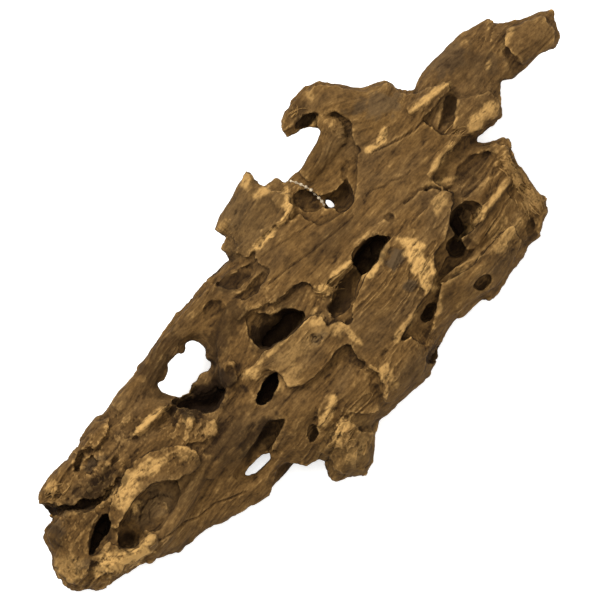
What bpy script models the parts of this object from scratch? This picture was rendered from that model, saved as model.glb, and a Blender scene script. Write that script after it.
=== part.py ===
"""Dragon wood: a hollow, weathered root trunk lying on its broad side, split into nodes at its main forks.

The wood is laid out on a plan seen from above, 600 units square, across to the right and down the sheet.
Every place and radius in the tables below is in plan units, and PLAN turns them into metres.
Heights are plan units above the surface that the wood lies on.
"""

import math

import bmesh
import bpy
import numpy as np
from mathutils import Matrix, Vector
from mathutils.geometry import delaunay_2d_cdt

# Driving dimensions
OVERALL_LENGTH = 0.380
PLAN_LENGTH = 755
PLAN = OVERALL_LENGTH / PLAN_LENGTH
GRAIN_ANGLE = math.radians(48)
PLAN_MIDDLE = (313.54, 303.67)
FORK_GAP = 0.0003

# How finely the solids are worked
VOXEL = 0.0014
TRIANGLES = 8300
SMOOTH_TURNS = 2
WEB_SPACING = 10
PATCH_SPACING = 8
PATCH_ROOT = 18
TORN_RISE = 1.3
MOUTH_HEIGHT = 40
RING_SIDES = 12
STATION_STEPS = 4

# The rounding from the torn edge of the wood to its full thickness
EDGE_REACH = 36
EDGE_SHARE = 0.24
SPOT_SPREAD = 30

# The torn outline, from the lower jaw round by the left side, the hook, the crown and the heel
OUTLINE = (
    (70, 591), (61, 582), (54, 571), (49, 552), (42, 539), (45, 529), (54, 519), (43, 514), (38, 505),
    (39, 493), (50, 476), (66, 463), (78, 447), (82, 434), (95, 418), (106, 417), (111, 403), (119, 391),
    (137, 374), (139, 366), (150, 355), (165, 336), (176, 320), (191, 302), (203, 283), (220, 271),
    (230, 260), (221, 249), (228, 236), (214, 230), (217, 218), (231, 197), (238, 182), (246, 171),
    (252, 171), (253, 180), (263, 187), (275, 178), (286, 182), (298, 173), (311, 158), (325, 138),
    (318, 125), (303, 129), (287, 139), (281, 125), (284, 112), (291, 100), (304, 86), (320, 80),
    (343, 84), (360, 88), (380, 82), (388, 79), (395, 88), (414, 90), (420, 74), (440, 53), (460, 35),
    (475, 26), (490, 18), (495, 23), (520, 19), (540, 11), (552, 11), (557, 23), (561, 35), (557, 46),
    (540, 54), (522, 70), (512, 79), (500, 82), (501, 98), (502, 116), (485, 131), (475, 140), (484, 144),
    (503, 138), (510, 140), (515, 160), (524, 170), (534, 188), (545, 198), (548, 211), (542, 223),
    (541, 236), (528, 247), (525, 258), (510, 273), (503, 285), (494, 298), (483, 299), (462, 318),
    (456, 317), (440, 341), (438, 357), (430, 377), (405, 400), (388, 415), (378, 421), (375, 440),
    (373, 462), (366, 475), (350, 478), (335, 482), (329, 477), (327, 461), (318, 459), (306, 465),
    (288, 462), (277, 469), (269, 496), (250, 507), (224, 522), (205, 530), (180, 553), (165, 556),
    (148, 560), (125, 574), (103, 590), (88, 590),
)
WINDOWS = {
    "arch_window": (
        (160, 387), (163, 377), (168, 369), (168, 356), (175, 344), (182, 349), (192, 343), (200, 343),
        (206, 354), (210, 363), (198, 378), (187, 391), (178, 396), (164, 394),
    ),
    "heel_slit": ((244, 474), (250, 464), (262, 454), (273, 449), (267, 460), (256, 471), (250, 475)),
}

# Spot heights: across, down, height of the upper face and height of the lower face
SPOTS = (
    (60, 490, 90, 38), (60, 560, 84, 22), (110, 450, 98, 28), (100, 540, 96, -8), (150, 505, 110, 4),
    (185, 445, 114, 18), (130, 400, 96, 44), (205, 512, 76, 30), (255, 495, 64, 36), (150, 370, 90, 52),
    (180, 325, 92, 46), (215, 290, 96, 28), (240, 440, 108, 14), (235, 370, 112, 16), (270, 330, 116, 14),
    (300, 400, 122, 10), (290, 445, 98, 26), (345, 455, 86, -4), (350, 395, 114, 6), (225, 215, 88, 58),
    (262, 200, 92, 52), (245, 250, 98, -8), (300, 240, 112, 8), (360, 220, 116, 12), (330, 290, 122, 10),
    (400, 270, 134, 8), (440, 215, 130, 12), (400, 350, 120, 8), (440, 300, 108, 6), (485, 255, 100, -8),
    (530, 215, 88, 18), (500, 165, 94, 26), (460, 160, 100, 24), (420, 170, 112, 26), (380, 130, 108, 46),
    (340, 100, 104, 60), (300, 105, 98, 70), (286, 127, 92, 74), (330, 160, 88, 56), (300, 185, 86, 58),
    (440, 110, 104, 46), (480, 105, 98, 50), (460, 60, 94, 46), (500, 45, 88, 42), (545, 30, 84, 42),
)

# Raised ground with a torn edge: across, down and rise above the upper face, round the edge
RAISED = {
    "pale_plate": (
        (245, 381, 2), (246, 371, 6), (257, 362, 10), (262, 352, 12), (285, 337, 14), (303, 322, 16),
        (313, 313, 16), (322, 317, 14), (326, 328, 12), (340, 321, 14), (352, 326, 16), (352, 342, 14),
        (336, 351, 12), (329, 362, 11), (318, 374, 11), (304, 384, 10), (289, 387, 9), (282, 376, 9),
        (276, 369, 8), (264, 371, 6), (256, 379, 3),
    ),
    "high_lump": (
        (351, 326, 16), (353, 305, 15), (364, 278, 18), (372, 268, 19), (382, 252, 20), (392, 238, 20),
        (408, 226, 18), (422, 212, 18), (432, 196, 20), (442, 190, 20), (454, 192, 17), (453, 206, 18),
        (448, 224, 17), (444, 240, 17), (434, 252, 20), (436, 272, 18), (430, 289, 15), (420, 302, 15),
        (410, 320, 14), (402, 335, 14), (394, 352, 12), (384, 366, 10), (368, 368, 9), (356, 358, 9),
        (351, 342, 14),
    ),
    "spine": (
        (232, 304, 4), (252, 292, 6), (270, 272, 9), (254, 260, 6), (256, 246, 7), (272, 232, 8),
        (292, 220, 8), (300, 212, 8), (318, 226, 8), (340, 214, 8), (352, 204, 10), (357, 180, 12),
        (356, 156, 12), (372, 152, 12), (400, 141, 10), (424, 124, 8), (440, 134, 8), (463, 134, 9),
        (444, 152, 12), (430, 176, 12), (412, 196, 12), (400, 205, 10), (404, 224, 10), (388, 234, 12),
        (370, 236, 14), (355, 248, 14), (350, 262, 14), (336, 274, 14), (318, 290, 10), (306, 282, 10),
        (290, 290, 9), (276, 302, 9), (250, 310, 7), (238, 322, 4),
    ),
    "slab_plate": (
        (246, 173, 6), (252, 174, 6), (255, 184, 8), (268, 190, 12), (290, 195, 16), (293, 206, 16),
        (288, 219, 15), (270, 230, 14), (256, 243, 14), (250, 258, 12), (236, 254, 4), (236, 238, 4),
        (228, 232, 2), (216, 228, 0), (218, 218, 0), (231, 198, 2), (239, 183, 4),
    ),
    "hook_plate": (
        (284, 130, 4), (283, 118, 6), (290, 106, 8), (302, 92, 8), (320, 84, 8), (343, 87, 8), (360, 92, 8),
        (388, 83, 8), (400, 93, 8), (416, 94, 10), (436, 86, 12), (448, 85, 14), (443, 95, 16),
        (430, 110, 17), (416, 124, 16), (400, 136, 16), (385, 145, 18), (370, 152, 18), (352, 145, 17),
        (349, 120, 16), (334, 111, 16), (314, 119, 14), (302, 124, 10),
    ),
    "right_block": (
        (352, 350, 10), (362, 354, 12), (368, 366, 12), (378, 372, 12), (382, 386, 12), (386, 404, 10),
        (396, 400, 6), (420, 380, 4), (432, 356, 6), (422, 344, 10), (410, 336, 12), (396, 344, 12),
        (380, 340, 12),
    ),
    "outer_plate": (
        (440, 283, 12), (455, 276, 14), (470, 266, 15), (480, 255, 15), (494, 240, 14), (512, 224, 14),
        (522, 240, 8), (514, 262, 8), (498, 286, 6), (484, 292, 8), (464, 306, 8), (450, 320, 6),
        (440, 336, 8), (430, 350, 8), (418, 360, 8), (430, 330, 10), (438, 308, 12),
    ),
    "bowl_rim": (
        (112, 524, 8), (113, 512, 10), (117, 500, 12), (125, 486, 13), (133, 474, 14), (142, 462, 14),
        (158, 456, 14), (172, 452, 13), (190, 452, 12), (200, 454, 10), (201, 464, 10), (192, 471, 10),
        (178, 478, 10), (164, 480, 12), (150, 484, 13), (140, 492, 13), (132, 503, 13), (126, 516, 12),
        (118, 530, 8),
    ),
    "bowl_lip": (
        (95, 557, 8), (105, 549, 10), (118, 548, 12), (130, 550, 13), (142, 544, 14), (149, 533, 14),
        (156, 534, 12), (157, 544, 11), (150, 552, 10), (138, 561, 10), (128, 569, 9), (112, 573, 8),
        (102, 569, 8),
    ),
    "jaw_bridge": (
        (166, 442, 10), (175, 428, 12), (184, 413, 13), (200, 416, 12), (212, 423, 12), (214, 436, 12),
        (200, 441, 12), (186, 440, 13), (174, 448, 12),
    ),
    "upper_lip": (
        (42, 496, 4), (50, 480, 6), (66, 463, 8), (80, 442, 8), (95, 421, 8), (108, 419, 8), (106, 436, 10),
        (94, 448, 10), (82, 449, 10), (74, 461, 9), (64, 474, 8), (58, 484, 7), (56, 497, 6),
    ),
    "middle_jaw": (
        (86, 478, 6), (100, 473, 8), (118, 468, 8), (132, 450, 8), (128, 470, 10), (116, 490, 10),
        (104, 494, 8), (90, 500, 6), (72, 500, 6), (74, 488, 5),
    ),
    "lower_jaw": (
        (58, 521, 8), (66, 511, 10), (84, 512, 9), (96, 508, 8), (98, 517, 6), (90, 532, 6), (88, 548, 6),
        (92, 560, 6), (88, 574, 8), (76, 586, 8), (64, 578, 6), (55, 566, 6), (50, 548, 4), (47, 534, 4),
    ),
    "crown_tip": (
        (505, 30, 10), (520, 24, 10), (545, 15, 6), (556, 30, 5), (553, 46, 5), (536, 54, 7), (524, 64, 9),
        (519, 60, 11), (512, 55, 12), (504, 47, 12),
    ),
    "crown_side": (
        (456, 100, 8), (470, 96, 6), (488, 92, 6), (498, 98, 5), (499, 114, 6), (484, 128, 6), (466, 136, 6),
        (454, 128, 8),
    ),
    "heel_tongue": ((318, 428, 8), (316, 414, 10), (324, 398, 10), (334, 388, 8), (337, 398, 9), (330, 414, 10)),
    "heel_plate": (
        (332, 440, 9), (340, 420, 10), (350, 418, 8), (358, 430, 8), (372, 432, 8), (372, 456, 7),
        (364, 472, 6), (346, 474, 6), (334, 470, 5), (330, 456, 5), (320, 452, 4),
    ),
}

# Round ridges on the upper face: across, down, rise of the middle, half width, half depth
UPPER_RIDGES = {
    "arch": (
        (122, 412, -3, 13, 9), (138, 390, -2, 11, 10), (155, 365, -2, 9, 9), (177, 338, -2, 9, 10),
        (206, 306, -3, 12, 11), (228, 292, -4, 12, 9), (246, 296, -4, 9, 8),
    ),
    "sill_strand": (
        (222, 404, -2, 8, 10), (238, 376, 0, 9, 12), (236, 346, 0, 8, 12), (226, 318, -2, 9, 10),
        (216, 306, -4, 8, 8),
    ),
    "belly_left": ((204, 474, -2, 8, 10), (228, 440, 0, 9, 12), (246, 412, 0, 9, 12), (256, 392, -2, 8, 9)),
    "belly_right": (
        (272, 444, -4, 7, 8), (288, 424, 0, 10, 11), (304, 404, 0, 14, 11), (326, 380, -2, 14, 10),
    ),
    "belly_bridge": ((256, 420, 0, 8, 11), (274, 412, 0, 8, 11), (292, 404, -2, 9, 10)),
    "bowl_side": (
        (208, 452, 0, 7, 10), (196, 480, 1, 7, 11), (180, 510, 1, 7, 12), (162, 540, 0, 6, 10), (146, 558, -4, 6, 8),
    ),
    "splinter": ((128, 440, 2, 4, 8), (146, 424, 8, 4, 9), (168, 405, 4, 4, 8)),
    "inner_rail": ((455, 244, -2, 6, 10), (473, 224, 4, 6, 12), (491, 202, 6, 6, 13), (508, 180, 2, 6, 10)),
    "rail_shoulder": ((470, 240, -2, 11, 10), (488, 218, 0, 12, 11), (506, 196, -2, 10, 10)),
    "crown_ridge": ((408, 112, 6, 7, 9), (426, 102, 10, 7, 9), (446, 86, 6, 6, 8)),
    "end_splinter": ((428, 178, 8, 4, 8), (440, 154, 10, 4, 8), (458, 138, 6, 4, 7)),
    "end_ears": ((522, 180, -5, 7, 8), (535, 200, -2, 7, 10), (540, 213, -2, 6, 9), (535, 232, -4, 6, 8)),
    "end_rim": ((502, 146, -4, 6, 9), (507, 166, -2, 7, 10), (518, 186, -3, 7, 10)),
    "hook_arm": ((336, 126, 0, 12, 13), (326, 150, 1, 12, 13), (306, 178, -2, 9, 10)),
    "hook_knob": ((322, 120, 2, 8, 10), (334, 128, 4, 11, 12), (340, 138, 0, 8, 9)),
    "shield": ((334, 368, -2, 12, 8), (352, 388, 0, 24, 10), (360, 408, -3, 20, 9)),
    "upper_end": ((468, 156, -4, 7, 8), (486, 153, -3, 8, 9), (500, 150, -4, 8, 8)),
}

# Ridges of the underside, with the rise counted downwards from the lower face
LOWER_RIDGES = {
    "left_root": (
        (62, 500, -4, 10, 10), (96, 448, -2, 13, 13), (126, 402, -4, 11, 11), (152, 362, -4, 8, 9),
        (184, 318, -4, 11, 11), (222, 282, -3, 14, 14), (262, 256, -2, 15, 15), (322, 236, -3, 12, 13),
        (366, 196, -6, 8, 8),
    ),
    "middle_root": (
        (104, 548, -4, 17, 14), (152, 508, -2, 14, 15), (196, 452, -4, 11, 13), (232, 410, -1, 14, 16),
        (262, 362, -3, 11, 14), (316, 330, 0, 15, 17), (362, 276, -3, 12, 14), (420, 232, 0, 15, 16),
        (470, 178, -3, 12, 12),
    ),
    "right_root": (
        (212, 516, -5, 9, 8), (262, 488, -5, 8, 8), (296, 450, -2, 10, 11), (330, 432, -1, 14, 15),
        (386, 380, -3, 12, 14), (430, 318, -1, 13, 15), (484, 272, -3, 14, 14), (526, 226, -5, 10, 10),
    ),
    "cross_root": (
        (236, 388, -2, 10, 11), (262, 400, -2, 11, 12), (296, 402, -3, 12, 12), (330, 420, -4, 11, 10),
    ),
    "end_fork": ((420, 232, -2, 11, 13), (456, 234, -2, 11, 13), (500, 214, -3, 11, 12), (532, 204, -5, 8, 9)),
    "arch_fork": ((262, 300, -4, 8, 9), (238, 330, -2, 10, 12), (222, 372, -4, 9, 10), (200, 410, -6, 7, 7)),
    "jaw_root": ((60, 548, -4, 11, 11), (84, 558, -3, 15, 14), (112, 556, -5, 12, 11)),
    "hook_keel": (
        (290, 120, -5, 5, 7), (312, 104, -4, 8, 10), (348, 112, -2, 12, 12), (386, 132, -2, 14, 13),
        (410, 176, -3, 14, 12), (406, 222, -6, 10, 8),
    ),
    "arm_keel": ((334, 132, -4, 10, 10), (318, 162, -3, 10, 11), (306, 196, -4, 11, 10), (300, 232, -6, 10, 8)),
    "crown_keel": (
        (546, 32, -5, 10, 8), (508, 54, -2, 12, 12), (470, 74, -2, 15, 13), (438, 120, -2, 14, 13),
        (448, 170, -5, 12, 9),
    ),
    "shoulder_keel": ((232, 208, -5, 8, 7), (254, 214, -3, 11, 10), (284, 222, -4, 12, 9)),
}

# Ridges along the flanks: across, down, height, half width, half depth
FLANK_RIDGES = {
    "right_flank": (
        (372, 408, 74, 9, 9), (398, 386, 82, 9, 9), (422, 350, 78, 9, 9), (446, 314, 82, 7, 8),
        (482, 285, 74, 9, 9), (502, 262, 70, 8, 8), (524, 236, 64, 6, 8),
    ),
    "right_foot": (
        (372, 406, 30, 9, 10), (406, 374, 36, 8, 9), (426, 342, 28, 7, 9), (466, 298, 34, 7, 9), (498, 270, 26, 8, 9),
    ),
    "left_flank": (
        (64, 482, 64, 8, 9), (94, 438, 72, 8, 8), (124, 404, 68, 8, 8), (154, 366, 74, 5, 8), (188, 324, 66, 7, 9),
        (216, 290, 60, 7, 9), (244, 262, 58, 10, 10),
    ),
    "head_flank": (
        (64, 562, 50, 8, 9), (86, 577, 44, 9, 9), (122, 560, 50, 9, 8), (170, 542, 44, 9, 8), (214, 508, 50, 8, 7),
    ),
    "end_flank": ((498, 152, 56, 8, 9), (508, 176, 50, 8, 9), (524, 198, 44, 8, 9), (530, 222, 36, 8, 8)),
}

# Hollows with a torn mouth: across, down and depth below the upper face, round the mouth
MOUTHS = {
    "long_window": (
        (247, 316, 14), (258, 318, 18), (270, 320, 26), (281, 312, 34), (293, 309, 44), (306, 315, 46),
        (300, 324, 56), (285, 337, 60), (270, 347, 60), (261, 351, 52), (253, 342, 34), (249, 332, 20),
    ),
    "oval_eye": (
        (278, 371, 62), (281, 379, 66), (278, 389, 70), (271, 399, 70), (263, 405, 66), (257, 403, 62),
        (258, 394, 62), (263, 383, 62), (269, 373, 60),
    ),
    "belly_window": (
        (288, 416, 14), (278, 418, 20), (268, 422, 28), (260, 432, 36), (252, 443, 44), (245, 455, 52),
        (237, 466, 54), (229, 477, 50), (237, 479, 52), (245, 474, 50), (252, 464, 50), (262, 455, 46),
        (273, 449, 40), (276, 440, 32), (281, 429, 22),
    ),
    "strand_gap": (
        (354, 266, 30), (345, 275, 26), (337, 284, 24), (333, 294, 26), (329, 304, 32), (328, 313, 34),
        (331, 319, 34), (341, 315, 34), (350, 308, 30), (355, 297, 26), (358, 285, 26), (362, 275, 34),
    ),
    "strand_eye": (
        (377, 234, 34), (388, 238, 30), (383, 249, 52), (378, 261, 66), (370, 272, 66), (362, 276, 60),
        (355, 268, 58), (352, 261, 60), (355, 253, 64), (361, 246, 64), (368, 240, 50),
    ),
    "arch_tunnel": (
        (164, 394, 34), (178, 396, 44), (187, 391, 46), (198, 378, 46), (208, 366, 44), (214, 370, 40),
        (222, 378, 36), (232, 387, 30), (225, 394, 42), (219, 403, 48), (213, 411, 46), (200, 412, 44),
        (187, 411, 42), (176, 408, 38), (168, 402, 36),
    ),
    "rail_eye": (
        (460, 204, 50), (470, 200, 40), (479, 206, 26), (481, 212, 26), (474, 220, 44), (467, 229, 60),
        (460, 238, 60), (454, 236, 60), (450, 228, 60), (450, 217, 60), (454, 208, 56),
    ),
    "rail_pocket": (
        (447, 241, 44), (455, 235, 52), (463, 241, 40), (466, 248, 24), (462, 256, 18), (452, 258, 20), (446, 250, 34),
    ),
    "outer_eye": (
        (424, 323, 44), (419, 321, 44), (423, 311, 46), (428, 303, 36), (434, 302, 22), (438, 308, 20), (434, 316, 36),
    ),
    "outer_pit": ((474, 286, 18), (480, 278, 20), (488, 275, 16), (491, 281, 12), (485, 289, 14), (478, 290, 16)),
    "edge_gash": ((443, 340, 40), (436, 344, 36), (430, 352, 34), (425, 363, 30), (431, 366, 34), (440, 356, 40)),
    "crown_pit": (
        (445, 98, 20), (450, 90, 14), (457, 100, 18), (456, 120, 20), (448, 123, 22), (437, 131, 18), (440, 118, 24),
    ),
    "arm_cave_left": (
        (291, 197, 20), (300, 190, 26), (312, 192, 36), (322, 198, 44), (322, 207, 40), (313, 212, 30),
        (303, 208, 24), (295, 205, 18),
    ),
    "arm_cave_right": (
        (322, 196, 40), (336, 188, 34), (350, 178, 26), (354, 192, 30), (353, 203, 30), (346, 209, 28),
        (338, 213, 26), (334, 207, 40), (325, 208, 44),
    ),
    "arm_crease": ((346, 156, 16), (352, 158, 18), (351, 172, 20), (345, 182, 20), (338, 182, 16), (341, 168, 18)),
    "scoop_left": (
        (214, 284, 6), (226, 276, 8), (240, 270, 8), (252, 266, 4), (250, 276, 16), (240, 287, 20), (228, 290, 14),
    ),
    "scoop_right": (
        (230, 296, 6), (242, 291, 8), (252, 280, 8), (264, 270, 6), (269, 276, 12), (258, 292, 20), (244, 301, 18),
    ),
    "throat": (
        (91, 557, 40), (89, 545, 50), (92, 531, 56), (98, 520, 52), (107, 513, 40), (111, 523, 46), (109, 532, 54),
        (102, 542, 56), (96, 550, 48),
    ),
    "jaw_cleft": (
        (34, 507, 10), (46, 503, 16), (58, 506, 26), (70, 505, 30), (80, 500, 30), (92, 500, 26), (104, 493, 20),
        (112, 486, 12), (112, 493, 14), (102, 503, 22), (90, 508, 28), (78, 511, 32), (66, 511, 30), (57, 517, 30),
        (46, 515, 18), (36, 516, 12),
    ),
    "jaw_pit_left": ((71, 468, 18), (76, 458, 20), (81, 448, 14), (84, 458, 20), (80, 470, 22), (75, 474, 18)),
    "jaw_basin": ((84, 461, 10), (92, 455, 10), (101, 459, 12), (100, 470, 12), (90, 476, 8)),
    "jaw_pit_right": ((109, 462, 12), (119, 453, 8), (118, 463, 16), (112, 467, 16)),
    "splinter_groove": ((150, 430, 4), (160, 417, 10), (172, 406, 14), (178, 411, 14), (170, 424, 8), (158, 432, 4)),
    "knot_bowl": (
        (117, 541, 26), (120, 525, 26), (126, 512, 24), (134, 499, 22), (148, 487, 18), (165, 481, 12),
        (176, 482, 6), (180, 494, 2), (176, 505, 0), (168, 516, 4), (161, 530, 10), (150, 532, 22), (142, 542, 28),
        (132, 548, 34), (121, 547, 32),
    ),
    "end_valley": (
        (452, 186, 2), (458, 168, 4), (470, 156, 6), (488, 150, 6), (500, 156, 4), (492, 172, 6), (478, 188, 8),
        (466, 198, 8), (456, 196, 6),
    ),
    "end_crease": ((486, 176, 14), (492, 168, 16), (503, 163, 14), (505, 169, 16), (494, 178, 18)),
    "end_ear_groove": ((530, 216, 14), (536, 217, 16), (535, 232, 18), (530, 242, 16), (526, 230, 12)),
    "rail_valley": (
        (478, 250, 4), (470, 258, 6), (452, 268, 10), (440, 280, 10), (434, 296, 10), (436, 282, 8), (446, 258, 10),
        (466, 250, 8),
    ),
    "ledge_crack": ((404, 204, 6), (416, 190, 12), (428, 184, 14), (454, 185, 12), (453, 191, 12), (436, 191, 14),
                    (424, 195, 10), (412, 204, 6)),
    "crown_step": ((499, 44, 4), (504, 46, 10), (513, 55, 12), (521, 62, 12), (524, 74, 10), (512, 80, 8), (506, 64, 2)),
    "heel_pit": ((307, 432, 12), (312, 423, 14), (318, 428, 18), (318, 438, 16), (310, 443, 12)),
    "slab_gap": ((292, 219, 4), (272, 231, 6), (257, 244, 6), (252, 262, 4), (258, 252, 2), (276, 238, 2), (294, 226, 2)),
    "far_pits": ((384, 360, 10), (388, 350, 12), (392, 352, 12), (390, 364, 12), (384, 368, 10)),
}

# Rotted heartwood: across, down, height of the middle, half width, half depth
HEART_TUNNELS = {
    "long_heart": (
        (196, 398, 66, 14, 14), (232, 366, 62, 15, 15), (268, 338, 66, 16, 16), (300, 322, 70, 14, 14),
        (340, 300, 72, 12, 13), (368, 258, 72, 13, 15),
    ),
    "end_heart": (
        (372, 250, 72, 12, 13), (420, 236, 66, 12, 13), (458, 220, 62, 12, 14), (500, 196, 56, 9, 10),
        (548, 186, 50, 10, 11),
    ),
    "belly_heart": ((268, 388, 64, 9, 12), (256, 430, 58, 10, 13), (240, 470, 54, 9, 12), (184, 526, 50, 8, 9)),
    "arm_drain": ((330, 203, 110, 6, 3), (330, 204, 70, 6, 3), (332, 205, 20, 9, 6)),
    "flank_drain": ((420, 312, 60, 8, 9), (452, 330, 56, 9, 10), (478, 348, 52, 10, 12)),
    "head_drain": ((100, 534, 40, 8, 10), (84, 556, 36, 9, 10), (58, 600, 30, 12, 14)),
}

# Hollows of the underside: across, down and depth above the lower face, round the mouth
LOWER_MOUTHS = {
    "left_channel": (
        (88, 500, 6), (98, 470, 14), (112, 458, 18), (122, 436, 20), (140, 420, 22), (158, 402, 26), (162, 412, 30),
        (150, 440, 30), (134, 452, 26), (128, 474, 26), (110, 490, 18), (104, 508, 8),
    ),
    "arch_hollow": (
        (206, 334, 8), (222, 312, 18), (240, 306, 14), (252, 290, 24), (278, 276, 22), (296, 284, 30),
        (280, 310, 34), (262, 318, 24), (252, 338, 26), (240, 344, 16), (228, 364, 12), (216, 352, 12),
    ),
    "centre_hollow": (
        (272, 388, 12), (284, 366, 24), (306, 354, 26), (322, 350, 30), (344, 322, 28), (358, 306, 24),
        (374, 312, 24), (372, 334, 32), (356, 344, 28), (344, 370, 38), (326, 372, 30), (312, 392, 28), (290, 392, 18),
    ),
    "far_hollow": (
        (384, 336, 10), (388, 306, 18), (404, 292, 24), (408, 272, 24), (432, 256, 24), (452, 252, 26),
        (458, 262, 26), (440, 280, 32), (430, 300, 28), (412, 312, 22), (404, 336, 16), (392, 350, 10),
    ),
    "end_hollow": (
        (470, 206, 10), (484, 190, 20), (506, 172, 26), (518, 180, 26), (508, 194, 22), (492, 202, 22), (478, 216, 12),
    ),
    "top_hollow": (
        (322, 274, 8), (332, 252, 18), (346, 246, 16), (354, 226, 24), (376, 206, 26), (390, 212, 24), (384, 236, 28),
        (362, 250, 22), (354, 266, 22), (338, 276, 12),
    ),
    "belly_channel": (
        (168, 506, 6), (182, 484, 16), (200, 478, 14), (216, 462, 20), (230, 458, 22), (232, 476, 22),
        (214, 488, 18), (204, 500, 18), (184, 512, 8),
    ),
    "jaw_hollow": ((72, 534, 6), (82, 524, 14), (92, 528, 16), (88, 540, 14), (76, 544, 8)),
    "crown_hollow": ((462, 114, 6), (472, 96, 14), (490, 88, 14), (494, 100, 16), (482, 116, 14), (470, 124, 8)),
    "neck_hollow": ((362, 158, 8), (378, 156, 14), (392, 166, 16), (388, 182, 14), (372, 178, 12)),
}

# Grooves along the flanks: across, down, height, half width, half depth
FLANK_GROOVES = {
    "right_groove": (
        (394, 414, 54, 10, 10), (420, 384, 58, 16, 11), (442, 346, 52, 17, 11), (464, 318, 58, 13, 10),
        (498, 294, 48, 16, 11), (528, 262, 46, 15, 10), (548, 236, 40, 9, 8),
    ),
    "right_under": (
        (392, 404, 14, 12, 10), (430, 364, 14, 15, 11), (456, 324, 18, 12, 10), (492, 300, 12, 10, 9),
    ),
    "left_groove": (
        (50, 462, 54, 9, 8), (84, 420, 50, 13, 10), (114, 386, 58, 12, 9), (148, 344, 60, 7, 7), (188, 292, 44, 15, 11),
        (220, 264, 40, 15, 12),
    ),
    "left_under": ((196, 268, 14, 12, 11), (232, 236, 20, 16, 14), (262, 226, 26, 14, 12)),
    "head_groove": (
        (52, 596, 30, 13, 10), (108, 592, 24, 15, 11), (160, 564, 28, 13, 10), (214, 532, 34, 8, 7),
    ),
    "jaw_groove": ((26, 500, 60, 8, 8), (48, 520, 54, 9, 10), (34, 545, 50, 8, 9)),
    "end_groove": ((516, 132, 62, 10, 9), (534, 164, 66, 13, 10), (556, 190, 60, 14, 11), (560, 220, 56, 10, 9)),
    "end_lower_groove": ((520, 150, 34, 8, 8), (540, 184, 30, 10, 9), (556, 214, 28, 8, 8)),
}

# The main forks: saw lines across each limb's root, seen on the plan
FORKS = {
    "crown_fork": ((406, 66), (414, 92), (424, 116), (447, 139), (470, 141), (524, 122)),
    "hook_fork": ((401, 66), (401, 92), (389, 120), (353, 148), (350, 176), (338, 204), (304, 202), (284, 168)),
    "shoulder_fork": ((288, 168), (293, 208), (272, 230), (252, 254), (238, 262), (206, 262)),
    "heel_fork": ((306, 480), (318, 446), (330, 424), (356, 416), (400, 430)),
}

# One plan point and height inside each node
NODE_SEEDS = {
    "trunk": (300, 300, 110),
    "crown_branch": (470, 70, 75),
    "hook_branch": (345, 100, 88),
    "shoulder_stub": (245, 215, 76),
    "heel_spur": (350, 455, 50),
}

# Bare weathered wood, a little greyer out on the crown and paler on the broken stubs
WOOD_COLORS = {
    "trunk": (0.158, 0.095, 0.045, 1.0),
    "crown_branch": (0.146, 0.094, 0.050, 1.0),
    "hook_branch": (0.170, 0.104, 0.050, 1.0),
    "shoulder_stub": (0.178, 0.112, 0.056, 1.0),
    "heel_spur": (0.186, 0.118, 0.060, 1.0),
}
WOOD_ROUGHNESS = 0.88


def to_row(across, down, height):
    """The point of the row frame, in metres, for a place on the plan."""
    east = across - PLAN_MIDDLE[0]
    north = PLAN_MIDDLE[1] - down
    along = east * math.cos(GRAIN_ANGLE) + north * math.sin(GRAIN_ANGLE)
    aside = north * math.cos(GRAIN_ANGLE) - east * math.sin(GRAIN_ANGLE)
    return Vector((along, aside, height)) * PLAN


def clear_scene():
    for old in list(bpy.data.objects):
        bpy.data.objects.remove(old, do_unlink=True)


def new_object(name, mesh):
    made = bpy.data.objects.new(name, mesh)
    bpy.context.scene.collection.objects.link(made)
    return made


def loop_edges(loop):
    """Start and end points of a closed loop's sides, as two arrays."""
    starts = np.array(loop, float)
    return starts, np.roll(starts, -1, axis=0)


def distance_to_loops(points, loops):
    """Distance of each plan point to the nearest torn edge."""
    nearest = np.full(len(points), np.inf)
    for loop in loops:
        starts, ends = loop_edges(loop)
        for start, side in zip(starts, ends - starts):
            share = np.clip((points - start) @ side / (side @ side), 0, 1)
            gap = np.linalg.norm(points - start - share[:, None] * side, axis=1)
            nearest = np.minimum(nearest, gap)
    return nearest


def inside_loops(points, loops):
    """True for each plan point that an odd number of the loops hold."""
    held = np.zeros(len(points), bool)
    for loop in loops:
        starts, ends = loop_edges(loop)
        for (x0, y0), (x1, y1) in zip(starts, ends):
            spans = (y0 > points[:, 1]) != (y1 > points[:, 1])
            slope = (x1 - x0) / (y1 - y0) if y1 != y0 else 0.0
            held ^= spans & (points[:, 0] < x0 + (points[:, 1] - y0) * slope)
    return held


def face_heights(points):
    """Upper and lower face of the wood at each plan point, from the spot heights and the rounded edges."""
    points = np.asarray(points, float)
    spots = np.array(SPOTS, float)
    gaps = np.linalg.norm(points[:, None, :] - spots[None, :, :2], axis=2)
    weights = np.exp(-0.5 * (gaps / SPOT_SPREAD) ** 2) + 1e-9
    heights = weights @ spots[:, 2:] / weights.sum(axis=1, keepdims=True)
    inward = np.clip(distance_to_loops(points, TORN_LOOPS) / EDGE_REACH, 0, 1)
    rounding = EDGE_SHARE + (1 - EDGE_SHARE) * np.sqrt(1 - (1 - inward) ** 2)
    middle = heights.mean(axis=1)
    half = (heights[:, 0] - heights[:, 1]) / 2 * rounding
    return middle + half, middle - half


TORN_LOOPS = [OUTLINE, *WINDOWS.values()]


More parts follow.
